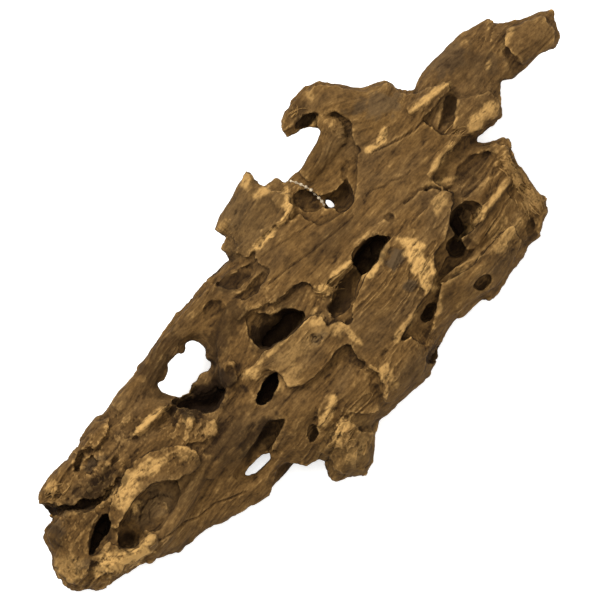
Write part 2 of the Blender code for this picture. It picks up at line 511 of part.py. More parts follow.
def sheet(name, loops, levels, spacing):
    """A closed slab that fills the plan inside the loops between two levels given for any plan points."""
    rows = np.arange(0, 600, spacing * math.sqrt(3) / 2)
    columns = np.arange(0, 600, spacing)
    field = np.array([(x + spacing / 2 * (row % 2), y) for row, y in enumerate(rows) for x in columns])
    rim = [point for loop in loops for point in loop]
    low, high = np.min(rim, axis=0), np.max(rim, axis=0)
    field = field[((field > low) & (field < high)).all(axis=1)]
    clear = distance_to_loops(field, loops) > spacing / 2
    field = field[clear & inside_loops(field, loops)]
    edges, first = [], 0
    for loop in loops:
        count = len(loop)
        edges += [(first + k, first + (k + 1) % count) for k in range(count)]
        first += count
    flat = [Vector(point) for point in [*rim, *field]]
    plan, _, triangles, *_ = delaunay_2d_cdt(flat, edges, [], 0, 1e-4)
    plan = np.array([tuple(point) for point in plan])
    triangles = np.array(triangles)
    triangles = triangles[inside_loops(plan[triangles].mean(axis=1), loops)]
    upper, lower = levels(plan)
    work = bmesh.new()
    top = [work.verts.new(to_row(*point, height)) for point, height in zip(plan, upper)]
    base = [work.verts.new(to_row(*point, height)) for point, height in zip(plan, lower)]
    sides = set()
    for corners in triangles:
        work.faces.new([top[k] for k in corners])
        work.faces.new([base[k] for k in reversed(corners)])
        for start, end in zip(corners, np.roll(corners, -1)):
            if (end, start) in sides:
                sides.remove((end, start))
            else:
                sides.add((start, end))
    for start, end in sorted(sides):
        work.faces.new((top[end], top[start], base[start], base[end]))
    return finished(work, name)


def spread(points, table):
    """The third value of a table of edge points, carried to any plan points by nearness."""
    known = np.array(table, float)
    gaps = np.linalg.norm(points[:, None, :] - known[None, :, :2], axis=2)
    weights = 1 / (gaps + 0.5) ** 2.5
    return weights @ known[:, 2] / weights.sum(axis=1)


def raised(name, table):
    """Raised ground: a slab from inside the wood to its rise above the upper face."""

    def levels(plan):
        face = face_heights(plan)[0]
        return face + TORN_RISE * spread(plan, table), face - PATCH_ROOT

    return sheet(name, [[point[:2] for point in table]], levels, PATCH_SPACING)


def mouth(name, table, face, sign):
    """The cutter of a hollow: from clear outside a face of the wood to its depth inside."""

    def levels(plan):
        height = face_heights(plan)[face]
        outside, floor = height - sign * MOUTH_HEIGHT, height + sign * spread(plan, table)
        return (floor, outside) if sign > 0 else (outside, floor)

    return sheet(name, [[point[:2] for point in table]], levels, PATCH_SPACING)


def finished(work, name):
    """A mesh object from a bmesh, with its loose points gone and its faces turned outwards."""
    bmesh.ops.delete(work, geom=[v for v in work.verts if not v.link_faces], context="VERTS")
    bmesh.ops.recalc_face_normals(work, faces=work.faces)
    mesh = bpy.data.meshes.new(name)
    work.to_mesh(mesh)
    work.free()
    return new_object(name, mesh)


def smooth_stations(stations):
    """The stations with more between them, on a smooth curve through them all."""
    rows = np.array(stations, float)
    padded = np.vstack([2 * rows[0] - rows[1], rows, 2 * rows[-1] - rows[-2]])
    filled = []
    for k in range(len(rows) - 1):
        before, start, end, after = padded[k : k + 4]
        for step in range(STATION_STEPS):
            t = step / STATION_STEPS
            bend = (2 * start - 2 * end + end - before + after - start) * t**3
            ease = (2 * before - 5 * start + 4 * end - after) * t**2
            filled.append(start + 0.5 * ((end - before) * t + ease + bend))
    return np.array([*filled, rows[-1]])


def strand(name, stations):
    """A closed round strand through its stations: across, down, height, half width, half depth."""
    rows = smooth_stations(stations)
    centres = [to_row(*row[:3]) for row in rows]
    work = bmesh.new()
    rings = []
    for k, centre in enumerate(centres):
        along = (centres[min(k + 1, len(rows) - 1)] - centres[max(k - 1, 0)]).normalized()
        sideways = along.cross(Vector((0, 0, 1)) if abs(along.z) < 0.9 else Vector((1, 0, 0))).normalized()
        upwards = sideways.cross(along)
        half_width, half_depth = np.maximum(rows[k][3:], 1) * PLAN
        turns = [math.tau * n / RING_SIDES for n in range(RING_SIDES)]
        rings.append([
            work.verts.new(centre + sideways * half_width * math.cos(a) + upwards * half_depth * math.sin(a))
            for a in turns
        ])
    for ring, after in zip(rings, rings[1:]):
        for n in range(RING_SIDES):
            m = (n + 1) % RING_SIDES
            work.faces.new((ring[n], ring[m], after[m], after[n]))
    work.faces.new(list(reversed(rings[0])))
    work.faces.new(rings[-1])
    return finished(work, name)


def on_face(table, face, sign):
    """The table's strands with their rise or depth counted from a face of the wood."""
    made = []
    for name, stations in table.items():
        level = face_heights([row[:2] for row in stations])[face]
        placed = [(u, v, z + sign * rise, a, b) for (u, v, rise, a, b), z in zip(stations, level)]
        made.append(strand(name, placed))
    return made


def apply_modifiers(target):
    graph = bpy.context.evaluated_depsgraph_get()
    mesh = bpy.data.meshes.new_from_object(target.evaluated_get(graph))
    target.modifiers.clear()
    target.data = mesh
    return target


def fused(name, shapes, smoothing):
    """One skin round all the shapes, which may overlap."""
    work = bmesh.new()
    for shape in shapes:
        work.from_mesh(shape.data)
        bpy.data.objects.remove(shape)
    mesh = bpy.data.meshes.new(name)
    work.to_mesh(mesh)
    work.free()
    whole = new_object(name, mesh)
    skin = whole.modifiers.new("Skin", "REMESH")
    skin.mode = "VOXEL"
    skin.voxel_size = VOXEL
    if smoothing:
        ease = whole.modifiers.new("Ease", "SMOOTH")
        ease.factor = 0.5
        ease.iterations = smoothing
    return apply_modifiers(whole)


def cut(target, cutter):
    boolean = target.modifiers.new("Cut", "BOOLEAN")
    boolean.operation = "DIFFERENCE"
    boolean.solver = "EXACT"
    boolean.object = cutter
    apply_modifiers(target)
    bpy.data.objects.remove(cutter)
    return target


def slab_below(top_height):
    """A block under everything that lies lower than the given height."""
    work = bmesh.new()
    bmesh.ops.create_cube(work, size=1.0)
    bmesh.ops.scale(work, vec=(0.6, 0.4, 0.05), verts=work.verts)
    bmesh.ops.translate(work, vec=(0, 0, top_height - 0.025), verts=work.verts)
    return finished(work, "slab_below")


def saw_blade(name, line):
    """A thin upright sheet along a fork's saw line."""
    path = [to_row(*point, 0) for point in line]
    normals = []
    for k in range(len(path)):
        along = (path[min(k + 1, len(path) - 1)] - path[max(k - 1, 0)]).normalized()
        normals.append(Vector((-along.y, along.x, 0)))
    work = bmesh.new()
    columns = []
    for point, normal in zip(path, normals):
        corners = []
        for side, level in ((-0.5, -0.01), (0.5, -0.01), (0.5, 0.11), (-0.5, 0.11)):
            corners.append(work.verts.new(point + normal * side * FORK_GAP + Vector((0, 0, level))))
        columns.append(corners)
    for left, right in zip(columns, columns[1:]):
        for k in range(4):
            m = (k + 1) % 4
            work.faces.new((left[k], left[m], right[m], right[k]))
    work.faces.new(columns[0])
    work.faces.new(columns[-1])
    return finished(work, name)


def largest_shell(target):
    """Keeps the biggest closed shell of a mesh and deletes stray bits."""
    shells = shells_of(target.data)
    work = bmesh.new()
    work.from_mesh(target.data)
    work.faces.ensure_lookup_table()
    keep = max(shells, key=len)
    lost = [face for face in work.faces if face.index not in keep]
    bmesh.ops.delete(work, geom=lost, context="FACES")
    work.to_mesh(target.data)
    work.free()
    return target


def shells_of(mesh):
    """Sets of face numbers, one for each connected shell."""
    work = bmesh.new()
    work.from_mesh(mesh)
    work.faces.ensure_lookup_table()
    seen, shells = set(), []
    for face in work.faces:
        if face.index in seen:
            continue
        shell, waiting = {face.index}, [face]
        while waiting:
            for edge in waiting.pop().edges:
                for other in edge.link_faces:
                    if other.index not in shell:
                        shell.add(other.index)
                        waiting.append(other)
        seen |= shell
        shells.append(shell)
    work.free()
    return shells


def wood_mass():
    """The whole piece in one skin: the web, its raised ground and its ridges, less the hollows."""
    web = sheet("web", TORN_LOOPS, face_heights, WEB_SPACING)
    ridges = on_face(UPPER_RIDGES, 0, 1) + on_face(LOWER_RIDGES, 1, -1)
    ridges += [raised(name, table) for name, table in RAISED.items()]
    ridges += [strand(name, stations) for name, stations in FLANK_RIDGES.items()]
    mass = fused("mass", [web, *ridges], 0)
    hollows = [mouth(name, table, 0, -1) for name, table in MOUTHS.items()]
    hollows += [mouth(name, table, 1, 1) for name, table in LOWER_MOUTHS.items()]
    hollows += [strand(name, stations) for name, stations in HEART_TUNNELS.items()]
    hollows += [strand(name, stations) for name, stations in FLANK_GROOVES.items()]
    mass = cut(mass, fused("hollows", hollows, 0))
    mass = largest_shell(fused("mass", [mass], SMOOTH_TURNS))
    fewer = mass.modifiers.new("Facets", "DECIMATE")
    fewer.ratio = TRIANGLES / (2 * len(mass.data.polygons))
    fewer.use_collapse_triangulate = True
    return cut(apply_modifiers(mass), slab_below(0.0))


def split_at_forks(mass):
    """Saws the limbs off at the forks and names each piece by the seed point that it lies nearest to."""
    for name, line in FORKS.items():
        mass = cut(mass, saw_blade(name, line))
    pieces = []
    for shell in shells_of(mass.data):
        work = bmesh.new()
        work.from_mesh(mass.data)
        work.faces.ensure_lookup_table()
        lost = [face for face in work.faces if face.index not in shell]
        bmesh.ops.delete(work, geom=lost, context="FACES")
        pieces.append((work.calc_volume(), work))
    pieces.sort(key=lambda piece: -piece[0])
    nodes = {}
    for _, work in pieces[: len(NODE_SEEDS)]:
        corners = np.array([tuple(vertex.co) for vertex in work.verts])
        name = min(NODE_SEEDS, key=lambda seed: np.linalg.norm(corners - to_row(*NODE_SEEDS[seed]), axis=1).min())
        nodes[name] = finished(work, name)
    bpy.data.objects.remove(mass)
    return nodes


def settle(nodes):
    """Moves the whole piece so that its box's middle stands over the origin and its feet at height zero."""
    corners = np.array([tuple(vertex.co) for node in nodes for vertex in node.data.vertices])
    low, high = corners.min(axis=0), corners.max(axis=0)
    middle = (low + high) / 2
    shift = Matrix.Translation((-middle[0], -middle[1], -low[2]))
    for node in nodes:
        node.data.transform(shift)


def wood_finish(name):
    """The bare wood of one node."""
    finish = bpy.data.materials.new(f"{name}_wood")
    finish.use_nodes = True
    shader = finish.node_tree.nodes["Principled BSDF"]
    shader.inputs["Base Color"].default_value = WOOD_COLORS[name]
    shader.inputs["Roughness"].default_value = WOOD_ROUGHNESS
    shader.inputs["Metallic"].default_value = 0.0
    return finish


def main():
    clear_scene()
    nodes = split_at_forks(wood_mass())
    settle(nodes.values())
    for name, node in nodes.items():
        node.name = name
        node.data.materials.clear()
        node.data.materials.append(wood_finish(name))


main()
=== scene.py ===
"""Dragon wood: a hollow, weathered root trunk lying on its broad side on a pale studio floor.

The wood is drawn on a plan seen from above, 600 units square, across to the right and down the sheet.
Places and radii in the tables are plan units, and heights are plan units above the floor. The class Plan
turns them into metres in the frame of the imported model.
"""

import logging
import math
from dataclasses import dataclass, field
from enum import Enum

import bmesh
import bpy
import numpy as np
from mathutils import Matrix, Vector
from mathutils.bvhtree import BVHTree
from mathutils.geometry import delaunay_2d_cdt


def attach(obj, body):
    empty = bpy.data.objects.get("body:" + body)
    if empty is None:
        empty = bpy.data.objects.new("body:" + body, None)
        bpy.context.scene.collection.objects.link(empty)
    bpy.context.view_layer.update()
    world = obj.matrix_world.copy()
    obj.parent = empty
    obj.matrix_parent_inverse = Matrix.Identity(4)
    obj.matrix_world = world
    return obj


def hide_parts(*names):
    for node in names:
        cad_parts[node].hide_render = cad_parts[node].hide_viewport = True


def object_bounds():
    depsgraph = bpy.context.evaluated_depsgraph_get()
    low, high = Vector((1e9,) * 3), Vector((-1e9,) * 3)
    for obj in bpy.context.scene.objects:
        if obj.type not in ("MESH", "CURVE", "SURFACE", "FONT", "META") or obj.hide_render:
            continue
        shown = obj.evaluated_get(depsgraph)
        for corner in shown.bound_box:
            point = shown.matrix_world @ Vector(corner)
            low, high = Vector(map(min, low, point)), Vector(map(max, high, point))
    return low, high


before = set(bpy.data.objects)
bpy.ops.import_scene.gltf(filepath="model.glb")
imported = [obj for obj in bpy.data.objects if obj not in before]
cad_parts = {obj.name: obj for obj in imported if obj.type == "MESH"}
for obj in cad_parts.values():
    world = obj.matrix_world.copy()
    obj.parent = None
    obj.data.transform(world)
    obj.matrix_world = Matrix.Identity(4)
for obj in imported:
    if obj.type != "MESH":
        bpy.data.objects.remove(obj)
CAD_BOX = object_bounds()

log = logging.getLogger("dragon_wood")

Point = tuple[float, float]
Mark = tuple[float, float, float]
Spot = tuple[float, float, float, float]
Station = tuple[float, float, float, float, float]

# The torn outline, from the lower jaw round by the left side, the hook, the crown and the heel
OUTLINE: tuple[Point, ...] = (
    (70, 591), (61, 582), (54, 571), (49, 552), (42, 539), (45, 529), (54, 519), (43, 514), (38, 505),
    (39, 493), (50, 476), (66, 463), (78, 447), (82, 434), (95, 418), (106, 417), (111, 403), (119, 391),
    (137, 374), (139, 366), (150, 355), (165, 336), (176, 320), (191, 302), (203, 283), (220, 271), (230, 260),
    (221, 249), (228, 236), (214, 230), (217, 218), (231, 197), (238, 182), (246, 171), (252, 171), (253, 180),
    (263, 187), (275, 178), (286, 182), (298, 173), (311, 158), (325, 138), (318, 125), (303, 129), (287, 139),
    (281, 125), (284, 112), (291, 100), (304, 86), (320, 80), (343, 84), (360, 88), (380, 82), (388, 79),
    (395, 88), (414, 90), (420, 74), (440, 53), (460, 35), (475, 26), (490, 18), (495, 23), (520, 19),
    (540, 11), (552, 11), (557, 23), (561, 35), (557, 46), (540, 54), (522, 70), (512, 79), (500, 82),
    (501, 98), (502, 116), (485, 131), (475, 140), (484, 144), (503, 138), (510, 140), (515, 160), (524, 170),
    (534, 188), (545, 198), (548, 211), (542, 223), (541, 236), (528, 247), (525, 258), (510, 273), (503, 285),
    (494, 298), (483, 299), (462, 318), (456, 317), (440, 341), (438, 357), (430, 377), (405, 400), (388, 415),
    (378, 421), (375, 440), (373, 462), (366, 475), (350, 478), (335, 482), (329, 477), (327, 461), (318, 459),
    (306, 465), (288, 462), (277, 469), (269, 496), (250, 507), (224, 522), (205, 530), (180, 553), (165, 556),
    (148, 560), (125, 574), (103, 590), (88, 590),
)

WINDOWS: dict[str, tuple[Point, ...]] = {
    "arch_window": (
        (168, 371), (166, 365), (169, 359), (167, 353), (171, 348), (177, 343), (180, 353), (184, 354),
        (186, 343), (192, 341), (198, 343), (204, 347), (206, 354), (204, 359), (212, 364), (208, 371),
        (201, 374), (197, 381), (192, 384), (189, 392), (181, 397), (170, 395), (161, 392), (157, 384),
        (165, 379),
    ),
    "heel_slit": ((243, 476), (250, 466), (261, 455), (274, 449), (271, 459), (263, 467), (254, 475)),
}

# Spot heights: across, down, height of the upper face and height of the lower face
SPOTS: tuple[Spot, ...] = (
    (60, 490, 90, 38), (60, 560, 84, 22), (110, 450, 98, 28), (100, 540, 96, -8), (150, 505, 110, 4),
    (185, 445, 114, 18), (130, 400, 96, 44), (205, 512, 76, 30), (255, 495, 64, 36), (150, 370, 90, 52),
    (180, 325, 92, 46), (215, 290, 96, 28), (240, 440, 108, 14), (235, 370, 112, 16), (270, 330, 116, 14),
    (300, 400, 122, 10), (290, 445, 98, 26), (345, 455, 86, -4), (350, 395, 114, 6), (225, 215, 88, 58),
    (262, 200, 92, 52), (245, 250, 98, -8), (300, 240, 112, 8), (360, 220, 116, 12), (330, 290, 122, 10),
    (400, 270, 134, 8), (440, 215, 130, 12), (400, 350, 120, 8), (440, 300, 108, 6), (485, 255, 100, -8),
    (530, 215, 88, 18), (500, 165, 94, 26), (460, 160, 100, 24), (420, 170, 112, 26), (380, 130, 108, 46),
    (340, 100, 104, 60), (300, 105, 98, 70), (286, 127, 92, 74), (330, 160, 88, 56), (300, 185, 86, 58),
    (440, 110, 104, 46), (480, 105, 98, 50), (460, 60, 94, 46), (500, 45, 88, 42), (545, 30, 84, 42),
)

# Raised ground with a torn edge: across, down and rise above the upper face, round the edge
RAISED: dict[str, tuple[Mark, ...]] = {
    "pale_plate": (
        (245, 381, 2), (246, 371, 6), (257, 362, 10), (262, 352, 12), (285, 337, 14), (303, 322, 16),
        (313, 313, 16), (322, 317, 14), (326, 328, 12), (340, 321, 14), (352, 326, 16), (352, 342, 14),
        (336, 351, 12), (329, 362, 11), (318, 374, 11), (304, 384, 10), (289, 387, 9), (282, 376, 9),
        (276, 369, 8), (264, 371, 6), (256, 379, 3),
    ),
    "high_lump": (
        (351, 326, 16), (353, 305, 15), (364, 278, 18), (372, 268, 19), (382, 252, 20), (392, 238, 20),
        (408, 226, 18), (422, 212, 18), (432, 196, 20), (442, 190, 20), (454, 192, 17), (453, 206, 18),
        (448, 224, 17), (444, 240, 17), (434, 252, 20), (436, 272, 18), (430, 289, 15), (420, 302, 15),
        (410, 320, 14), (402, 335, 14), (394, 352, 12), (384, 366, 10), (368, 368, 9), (356, 358, 9),
        (351, 342, 14),
    ),
    "spine": (
        (232, 304, 4), (252, 292, 6), (270, 272, 9), (254, 260, 6), (256, 246, 7), (272, 232, 8), (292, 220, 8),
        (300, 212, 8), (318, 226, 8), (340, 214, 8), (352, 204, 10), (357, 180, 12), (356, 154, 12),
        (372, 148, 12), (400, 134, 10), (420, 118, 8), (440, 134, 8), (463, 134, 9), (444, 152, 12),
        (430, 178, 11), (446, 187, 12), (436, 197, 13), (424, 212, 13), (408, 227, 13), (392, 237, 13),
        (370, 236, 14), (355, 248, 14), (350, 262, 14), (336, 274, 14), (318, 290, 10), (306, 282, 10),
        (290, 290, 9), (276, 302, 9), (250, 310, 7), (238, 322, 4),
    ),
    "slab_plate": (
        (246, 173, 6), (252, 174, 6), (255, 184, 8), (268, 190, 12), (290, 195, 16), (293, 206, 16),
        (288, 219, 14), (270, 230, 10), (256, 243, 9), (250, 258, 7), (236, 254, 4), (236, 238, 4),
        (228, 232, 2), (216, 228, 0), (218, 218, 0), (231, 198, 2), (239, 183, 4),
    ),
    "hook_plate": (
        (284, 130, 4), (283, 118, 6), (290, 106, 8), (302, 92, 8), (320, 84, 8), (343, 87, 8), (360, 92, 8),
        (388, 83, 8), (400, 93, 8), (416, 94, 10), (436, 86, 12), (448, 85, 14), (443, 95, 14), (430, 110, 12),
        (416, 124, 9), (400, 136, 8), (385, 145, 9), (370, 152, 10), (356, 146, 11), (350, 120, 13),
        (334, 111, 14), (314, 119, 12), (302, 124, 9),
    ),
    "right_block": (
        (352, 350, 10), (362, 354, 12), (368, 366, 12), (378, 372, 12), (382, 386, 12), (386, 404, 10),
        (396, 400, 6), (420, 380, 4), (432, 356, 6), (422, 344, 10), (410, 336, 12), (396, 344, 12),
        (380, 340, 12),
    ),
    "outer_plate": (
        (440, 283, 12), (455, 276, 14), (470, 266, 15), (480, 255, 15), (494, 240, 14), (512, 224, 14),
        (522, 240, 8), (514, 262, 8), (498, 286, 6), (484, 292, 8), (464, 306, 8), (450, 320, 6), (440, 336, 8),
        (430, 350, 8), (418, 360, 8), (430, 330, 10), (438, 308, 12),
    ),
    "bowl_rim": (
        (108, 526, 6), (108, 513, 9), (111, 500, 12), (117, 488, 13), (124, 475, 14), (134, 462, 14),
        (148, 453, 14), (166, 446, 13), (186, 447, 12), (200, 453, 10), (201, 464, 10), (192, 471, 10),
        (178, 478, 10), (164, 480, 12), (150, 484, 13), (140, 492, 13), (132, 503, 13), (126, 516, 12),
        (118, 530, 8),
    ),
    "bowl_lip": (
        (93, 556, 8), (103, 549, 10), (112, 541, 12), (119, 549, 13), (130, 551, 13), (142, 545, 14),
        (149, 533, 14), (156, 534, 12), (157, 544, 11), (150, 552, 10), (138, 561, 10), (128, 570, 9),
        (113, 575, 8), (102, 571, 8),
    ),
    "jaw_bridge": (
        (160, 444, 1), (175, 428, 5), (184, 413, 6), (200, 416, 6), (214, 421, 5), (220, 434, 2), (206, 442, 4),
        (188, 444, 5), (172, 452, 3),
    ),
    "sill_plate": (
        (206, 300, -2), (222, 292, -1), (244, 296, 0), (250, 316, 0), (250, 338, 0), (258, 352, 1),
        (260, 370, 1), (254, 388, 1), (240, 404, 0), (226, 410, -1), (218, 402, -3), (230, 388, -2),
        (218, 376, -2), (210, 362, -2), (204, 348, -3), (196, 332, -4), (200, 314, -3),
    ),
    "belly_plate": (
        (250, 416, -1), (268, 408, 0), (284, 396, 1), (304, 386, 2), (322, 374, 3), (338, 364, 3),
        (344, 380, 2), (334, 394, 1), (322, 412, 0), (314, 430, -1), (304, 446, -2), (290, 448, -3),
        (278, 442, -3), (286, 424, -1), (274, 416, -1), (256, 424, -2),
    ),
    "upper_lip": (
        (42, 496, 4), (50, 480, 6), (66, 463, 8), (80, 442, 8), (95, 421, 8), (108, 419, 8), (106, 436, 10),
        (94, 448, 10), (82, 449, 10), (74, 461, 9), (64, 474, 8), (58, 484, 7), (56, 497, 6),
    ),
    "lower_jaw": (
        (58, 521, 8), (66, 511, 10), (84, 512, 9), (96, 508, 8), (98, 517, 6), (90, 532, 6), (88, 548, 6),
        (92, 560, 6), (88, 574, 8), (76, 586, 8), (64, 578, 6), (55, 566, 6), (50, 548, 4), (47, 534, 4),
    ),
    "crown_tip": (
        (505, 30, 10), (520, 24, 10), (545, 15, 6), (556, 30, 5), (553, 46, 5), (536, 54, 7), (524, 64, 9),
        (519, 60, 11), (512, 55, 12), (504, 47, 12),
    ),
    "crown_side": (
        (456, 100, 8), (470, 96, 6), (488, 92, 6), (498, 98, 5), (499, 114, 6), (484, 128, 6), (466, 136, 6),
        (454, 128, 8),
    ),
    "heel_tongue": (
        (318, 428, 8), (316, 414, 10), (324, 398, 10), (334, 388, 8), (337, 398, 9), (330, 414, 10),
    ),
    "heel_plate": (
        (332, 440, 9), (340, 420, 10), (350, 418, 8), (358, 430, 8), (372, 432, 8), (372, 456, 7),
        (364, 472, 6), (346, 474, 6), (334, 470, 5), (330, 456, 5), (320, 452, 4),
    ),
}

# Round ridges on the upper face: across, down, rise of the middle, half width, half depth
UPPER_RIDGES: dict[str, tuple[Station, ...]] = {
    "arch": (
        (122, 412, -6, 13, 9), (138, 390, -6, 12, 10), (155, 365, -6, 10, 9), (177, 338, -6, 11, 10),
        (206, 306, -7, 14, 11), (228, 292, -8, 14, 9), (246, 296, -8, 11, 8),
    ),
    "sill_strand": (
        (222, 404, -7, 12, 10), (232, 376, -6, 12, 12), (226, 346, -6, 11, 12), (232, 318, -7, 11, 10),
        (246, 302, -7, 10, 8),
    ),
    "belly_left": (
        (204, 474, -6, 11, 10), (228, 440, -6, 12, 12), (246, 412, -6, 12, 12), (256, 392, -6, 11, 9),
    ),
    "belly_right": (
        (272, 444, -5, 8, 8), (288, 424, -6, 14, 11), (304, 404, -6, 18, 11), (326, 380, -6, 17, 10),
    ),
    "belly_bridge": ((256, 420, -8, 10, 11), (274, 412, -7, 11, 11), (292, 404, -7, 13, 10)),
    "bowl_side": (
        (208, 452, -4, 9, 9), (196, 480, -4, 9, 10), (180, 510, -4, 9, 11), (162, 540, -4, 8, 9),
        (146, 558, -6, 7, 8),
    ),
    "splinter": (
        (131, 438, -2, 1.5, 5), (140, 430, 3, 2.6, 6), (152, 419, 5, 3.2, 7), (163, 409, 4, 2.0, 6),
        (169, 404, 1, 1.2, 5),
    ),
    "inner_rail": ((455, 244, -3, 5, 9), (473, 224, 1, 5, 10), (491, 202, 3, 5, 11), (508, 180, 0, 5, 9)),
    "rail_shoulder": ((470, 240, -5, 12, 9), (488, 218, -4, 13, 10), (506, 196, -5, 11, 9)),
    "crown_ridge": ((408, 112, 6, 7, 9), (426, 102, 10, 7, 9), (446, 86, 6, 6, 8)),
    "end_splinter": ((428, 178, 8, 4, 8), (440, 154, 10, 4, 8), (458, 138, 6, 4, 7)),
    "end_ears": ((522, 180, -7, 7, 8), (535, 200, -5, 8, 10), (540, 213, -5, 7, 9), (535, 232, -6, 6, 8)),
    "end_rim": ((502, 146, -4, 6, 9), (507, 166, -2, 7, 10), (518, 186, -3, 7, 10)),
    "hook_arm": ((336, 126, 0, 12, 13), (326, 150, 1, 12, 13), (306, 178, -2, 9, 10)),
    "hook_knob": ((322, 120, 2, 8, 10), (334, 128, 4, 11, 12), (340, 138, 0, 8, 9)),
    "shield": ((334, 368, -2, 12, 8), (352, 388, 0, 24, 10), (360, 408, -3, 20, 9)),
    "upper_end": ((468, 156, -4, 7, 8), (486, 153, -3, 8, 9), (500, 150, -4, 8, 8)),
}

# Ridges of the underside, with the rise counted downwards from the lower face
LOWER_RIDGES: dict[str, tuple[Station, ...]] = {
    "left_root": (
        (62, 500, -4, 10, 10), (96, 448, -2, 13, 13), (126, 402, -4, 11, 11), (152, 362, -4, 8, 9),
        (184, 318, -4, 11, 11), (222, 282, -3, 14, 14), (262, 256, -2, 15, 15), (322, 236, -3, 12, 13),
        (366, 196, -6, 8, 8),
    ),
    "middle_root": (
        (104, 548, -4, 17, 14), (152, 508, -2, 14, 15), (196, 452, -4, 11, 13), (232, 410, -1, 14, 16),
        (262, 362, -3, 11, 14), (316, 330, 0, 15, 17), (362, 276, -3, 12, 14), (420, 232, 0, 15, 16),
        (470, 178, -3, 12, 12),
    ),
    "right_root": (
        (212, 516, -5, 9, 8), (262, 488, -5, 8, 8), (296, 450, -2, 10, 11), (330, 432, -1, 14, 15),
        (386, 380, -3, 12, 14), (430, 318, -1, 13, 15), (484, 272, -3, 14, 14), (526, 226, -5, 10, 10),
    ),
    "cross_root": (
        (236, 388, -2, 10, 11), (262, 400, -2, 11, 12), (296, 402, -3, 12, 12), (330, 420, -4, 11, 10),
    ),
    "end_fork": ((420, 232, -2, 11, 13), (456, 234, -2, 11, 13), (500, 214, -3, 11, 12), (532, 204, -5, 8, 9)),
    "arch_fork": ((262, 300, -4, 8, 9), (238, 330, -2, 10, 12), (222, 372, -4, 9, 10), (200, 410, -6, 7, 7)),
    "jaw_root": ((60, 548, -4, 11, 11), (84, 558, -3, 15, 14), (112, 556, -5, 12, 11)),
    "hook_keel": (
        (290, 120, -5, 5, 7), (312, 104, -4, 8, 10), (348, 112, -2, 12, 12), (386, 132, -2, 14, 13),
        (410, 176, -3, 14, 12), (406, 222, -6, 10, 8),
    ),
    "arm_keel": ((334, 132, -4, 10, 10), (318, 162, -3, 10, 11), (306, 196, -4, 11, 10), (300, 232, -6, 10, 8)),
    "crown_keel": (
        (546, 32, -5, 10, 8), (508, 54, -2, 12, 12), (470, 74, -2, 15, 13), (438, 120, -2, 14, 13),
        (448, 170, -5, 12, 9),
    ),
    "shoulder_keel": ((232, 208, -5, 8, 7), (254, 214, -3, 11, 10), (284, 222, -4, 12, 9)),
}

# Ridges along the flanks: across, down, height, half width, half depth
FLANK_RIDGES: dict[str, tuple[Station, ...]] = {
    "right_flank": (
        (372, 408, 74, 9, 9), (398, 386, 82, 9, 9), (422, 350, 78, 9, 9), (446, 314, 82, 7, 8),
        (482, 285, 74, 9, 9), (502, 262, 70, 8, 8), (524, 236, 64, 6, 8),
    ),
    "right_foot": (
        (372, 406, 30, 9, 10), (406, 374, 36, 8, 9), (426, 342, 28, 7, 9), (466, 298, 34, 7, 9),
        (498, 270, 26, 8, 9),
    ),
    "left_flank": (
        (64, 482, 64, 8, 9), (94, 438, 72, 8, 8), (124, 404, 68, 8, 8), (154, 366, 74, 5, 8),
        (188, 324, 66, 7, 9), (216, 290, 60, 7, 9), (244, 262, 58, 10, 10),
    ),
    "head_flank": (
        (64, 562, 50, 8, 9), (86, 577, 44, 9, 9), (122, 560, 50, 9, 8), (170, 542, 44, 9, 8),
        (214, 508, 50, 8, 7),
    ),
    "end_flank": ((498, 152, 56, 8, 9), (508, 176, 50, 8, 9), (524, 198, 44, 8, 9), (530, 222, 36, 8, 8)),
}

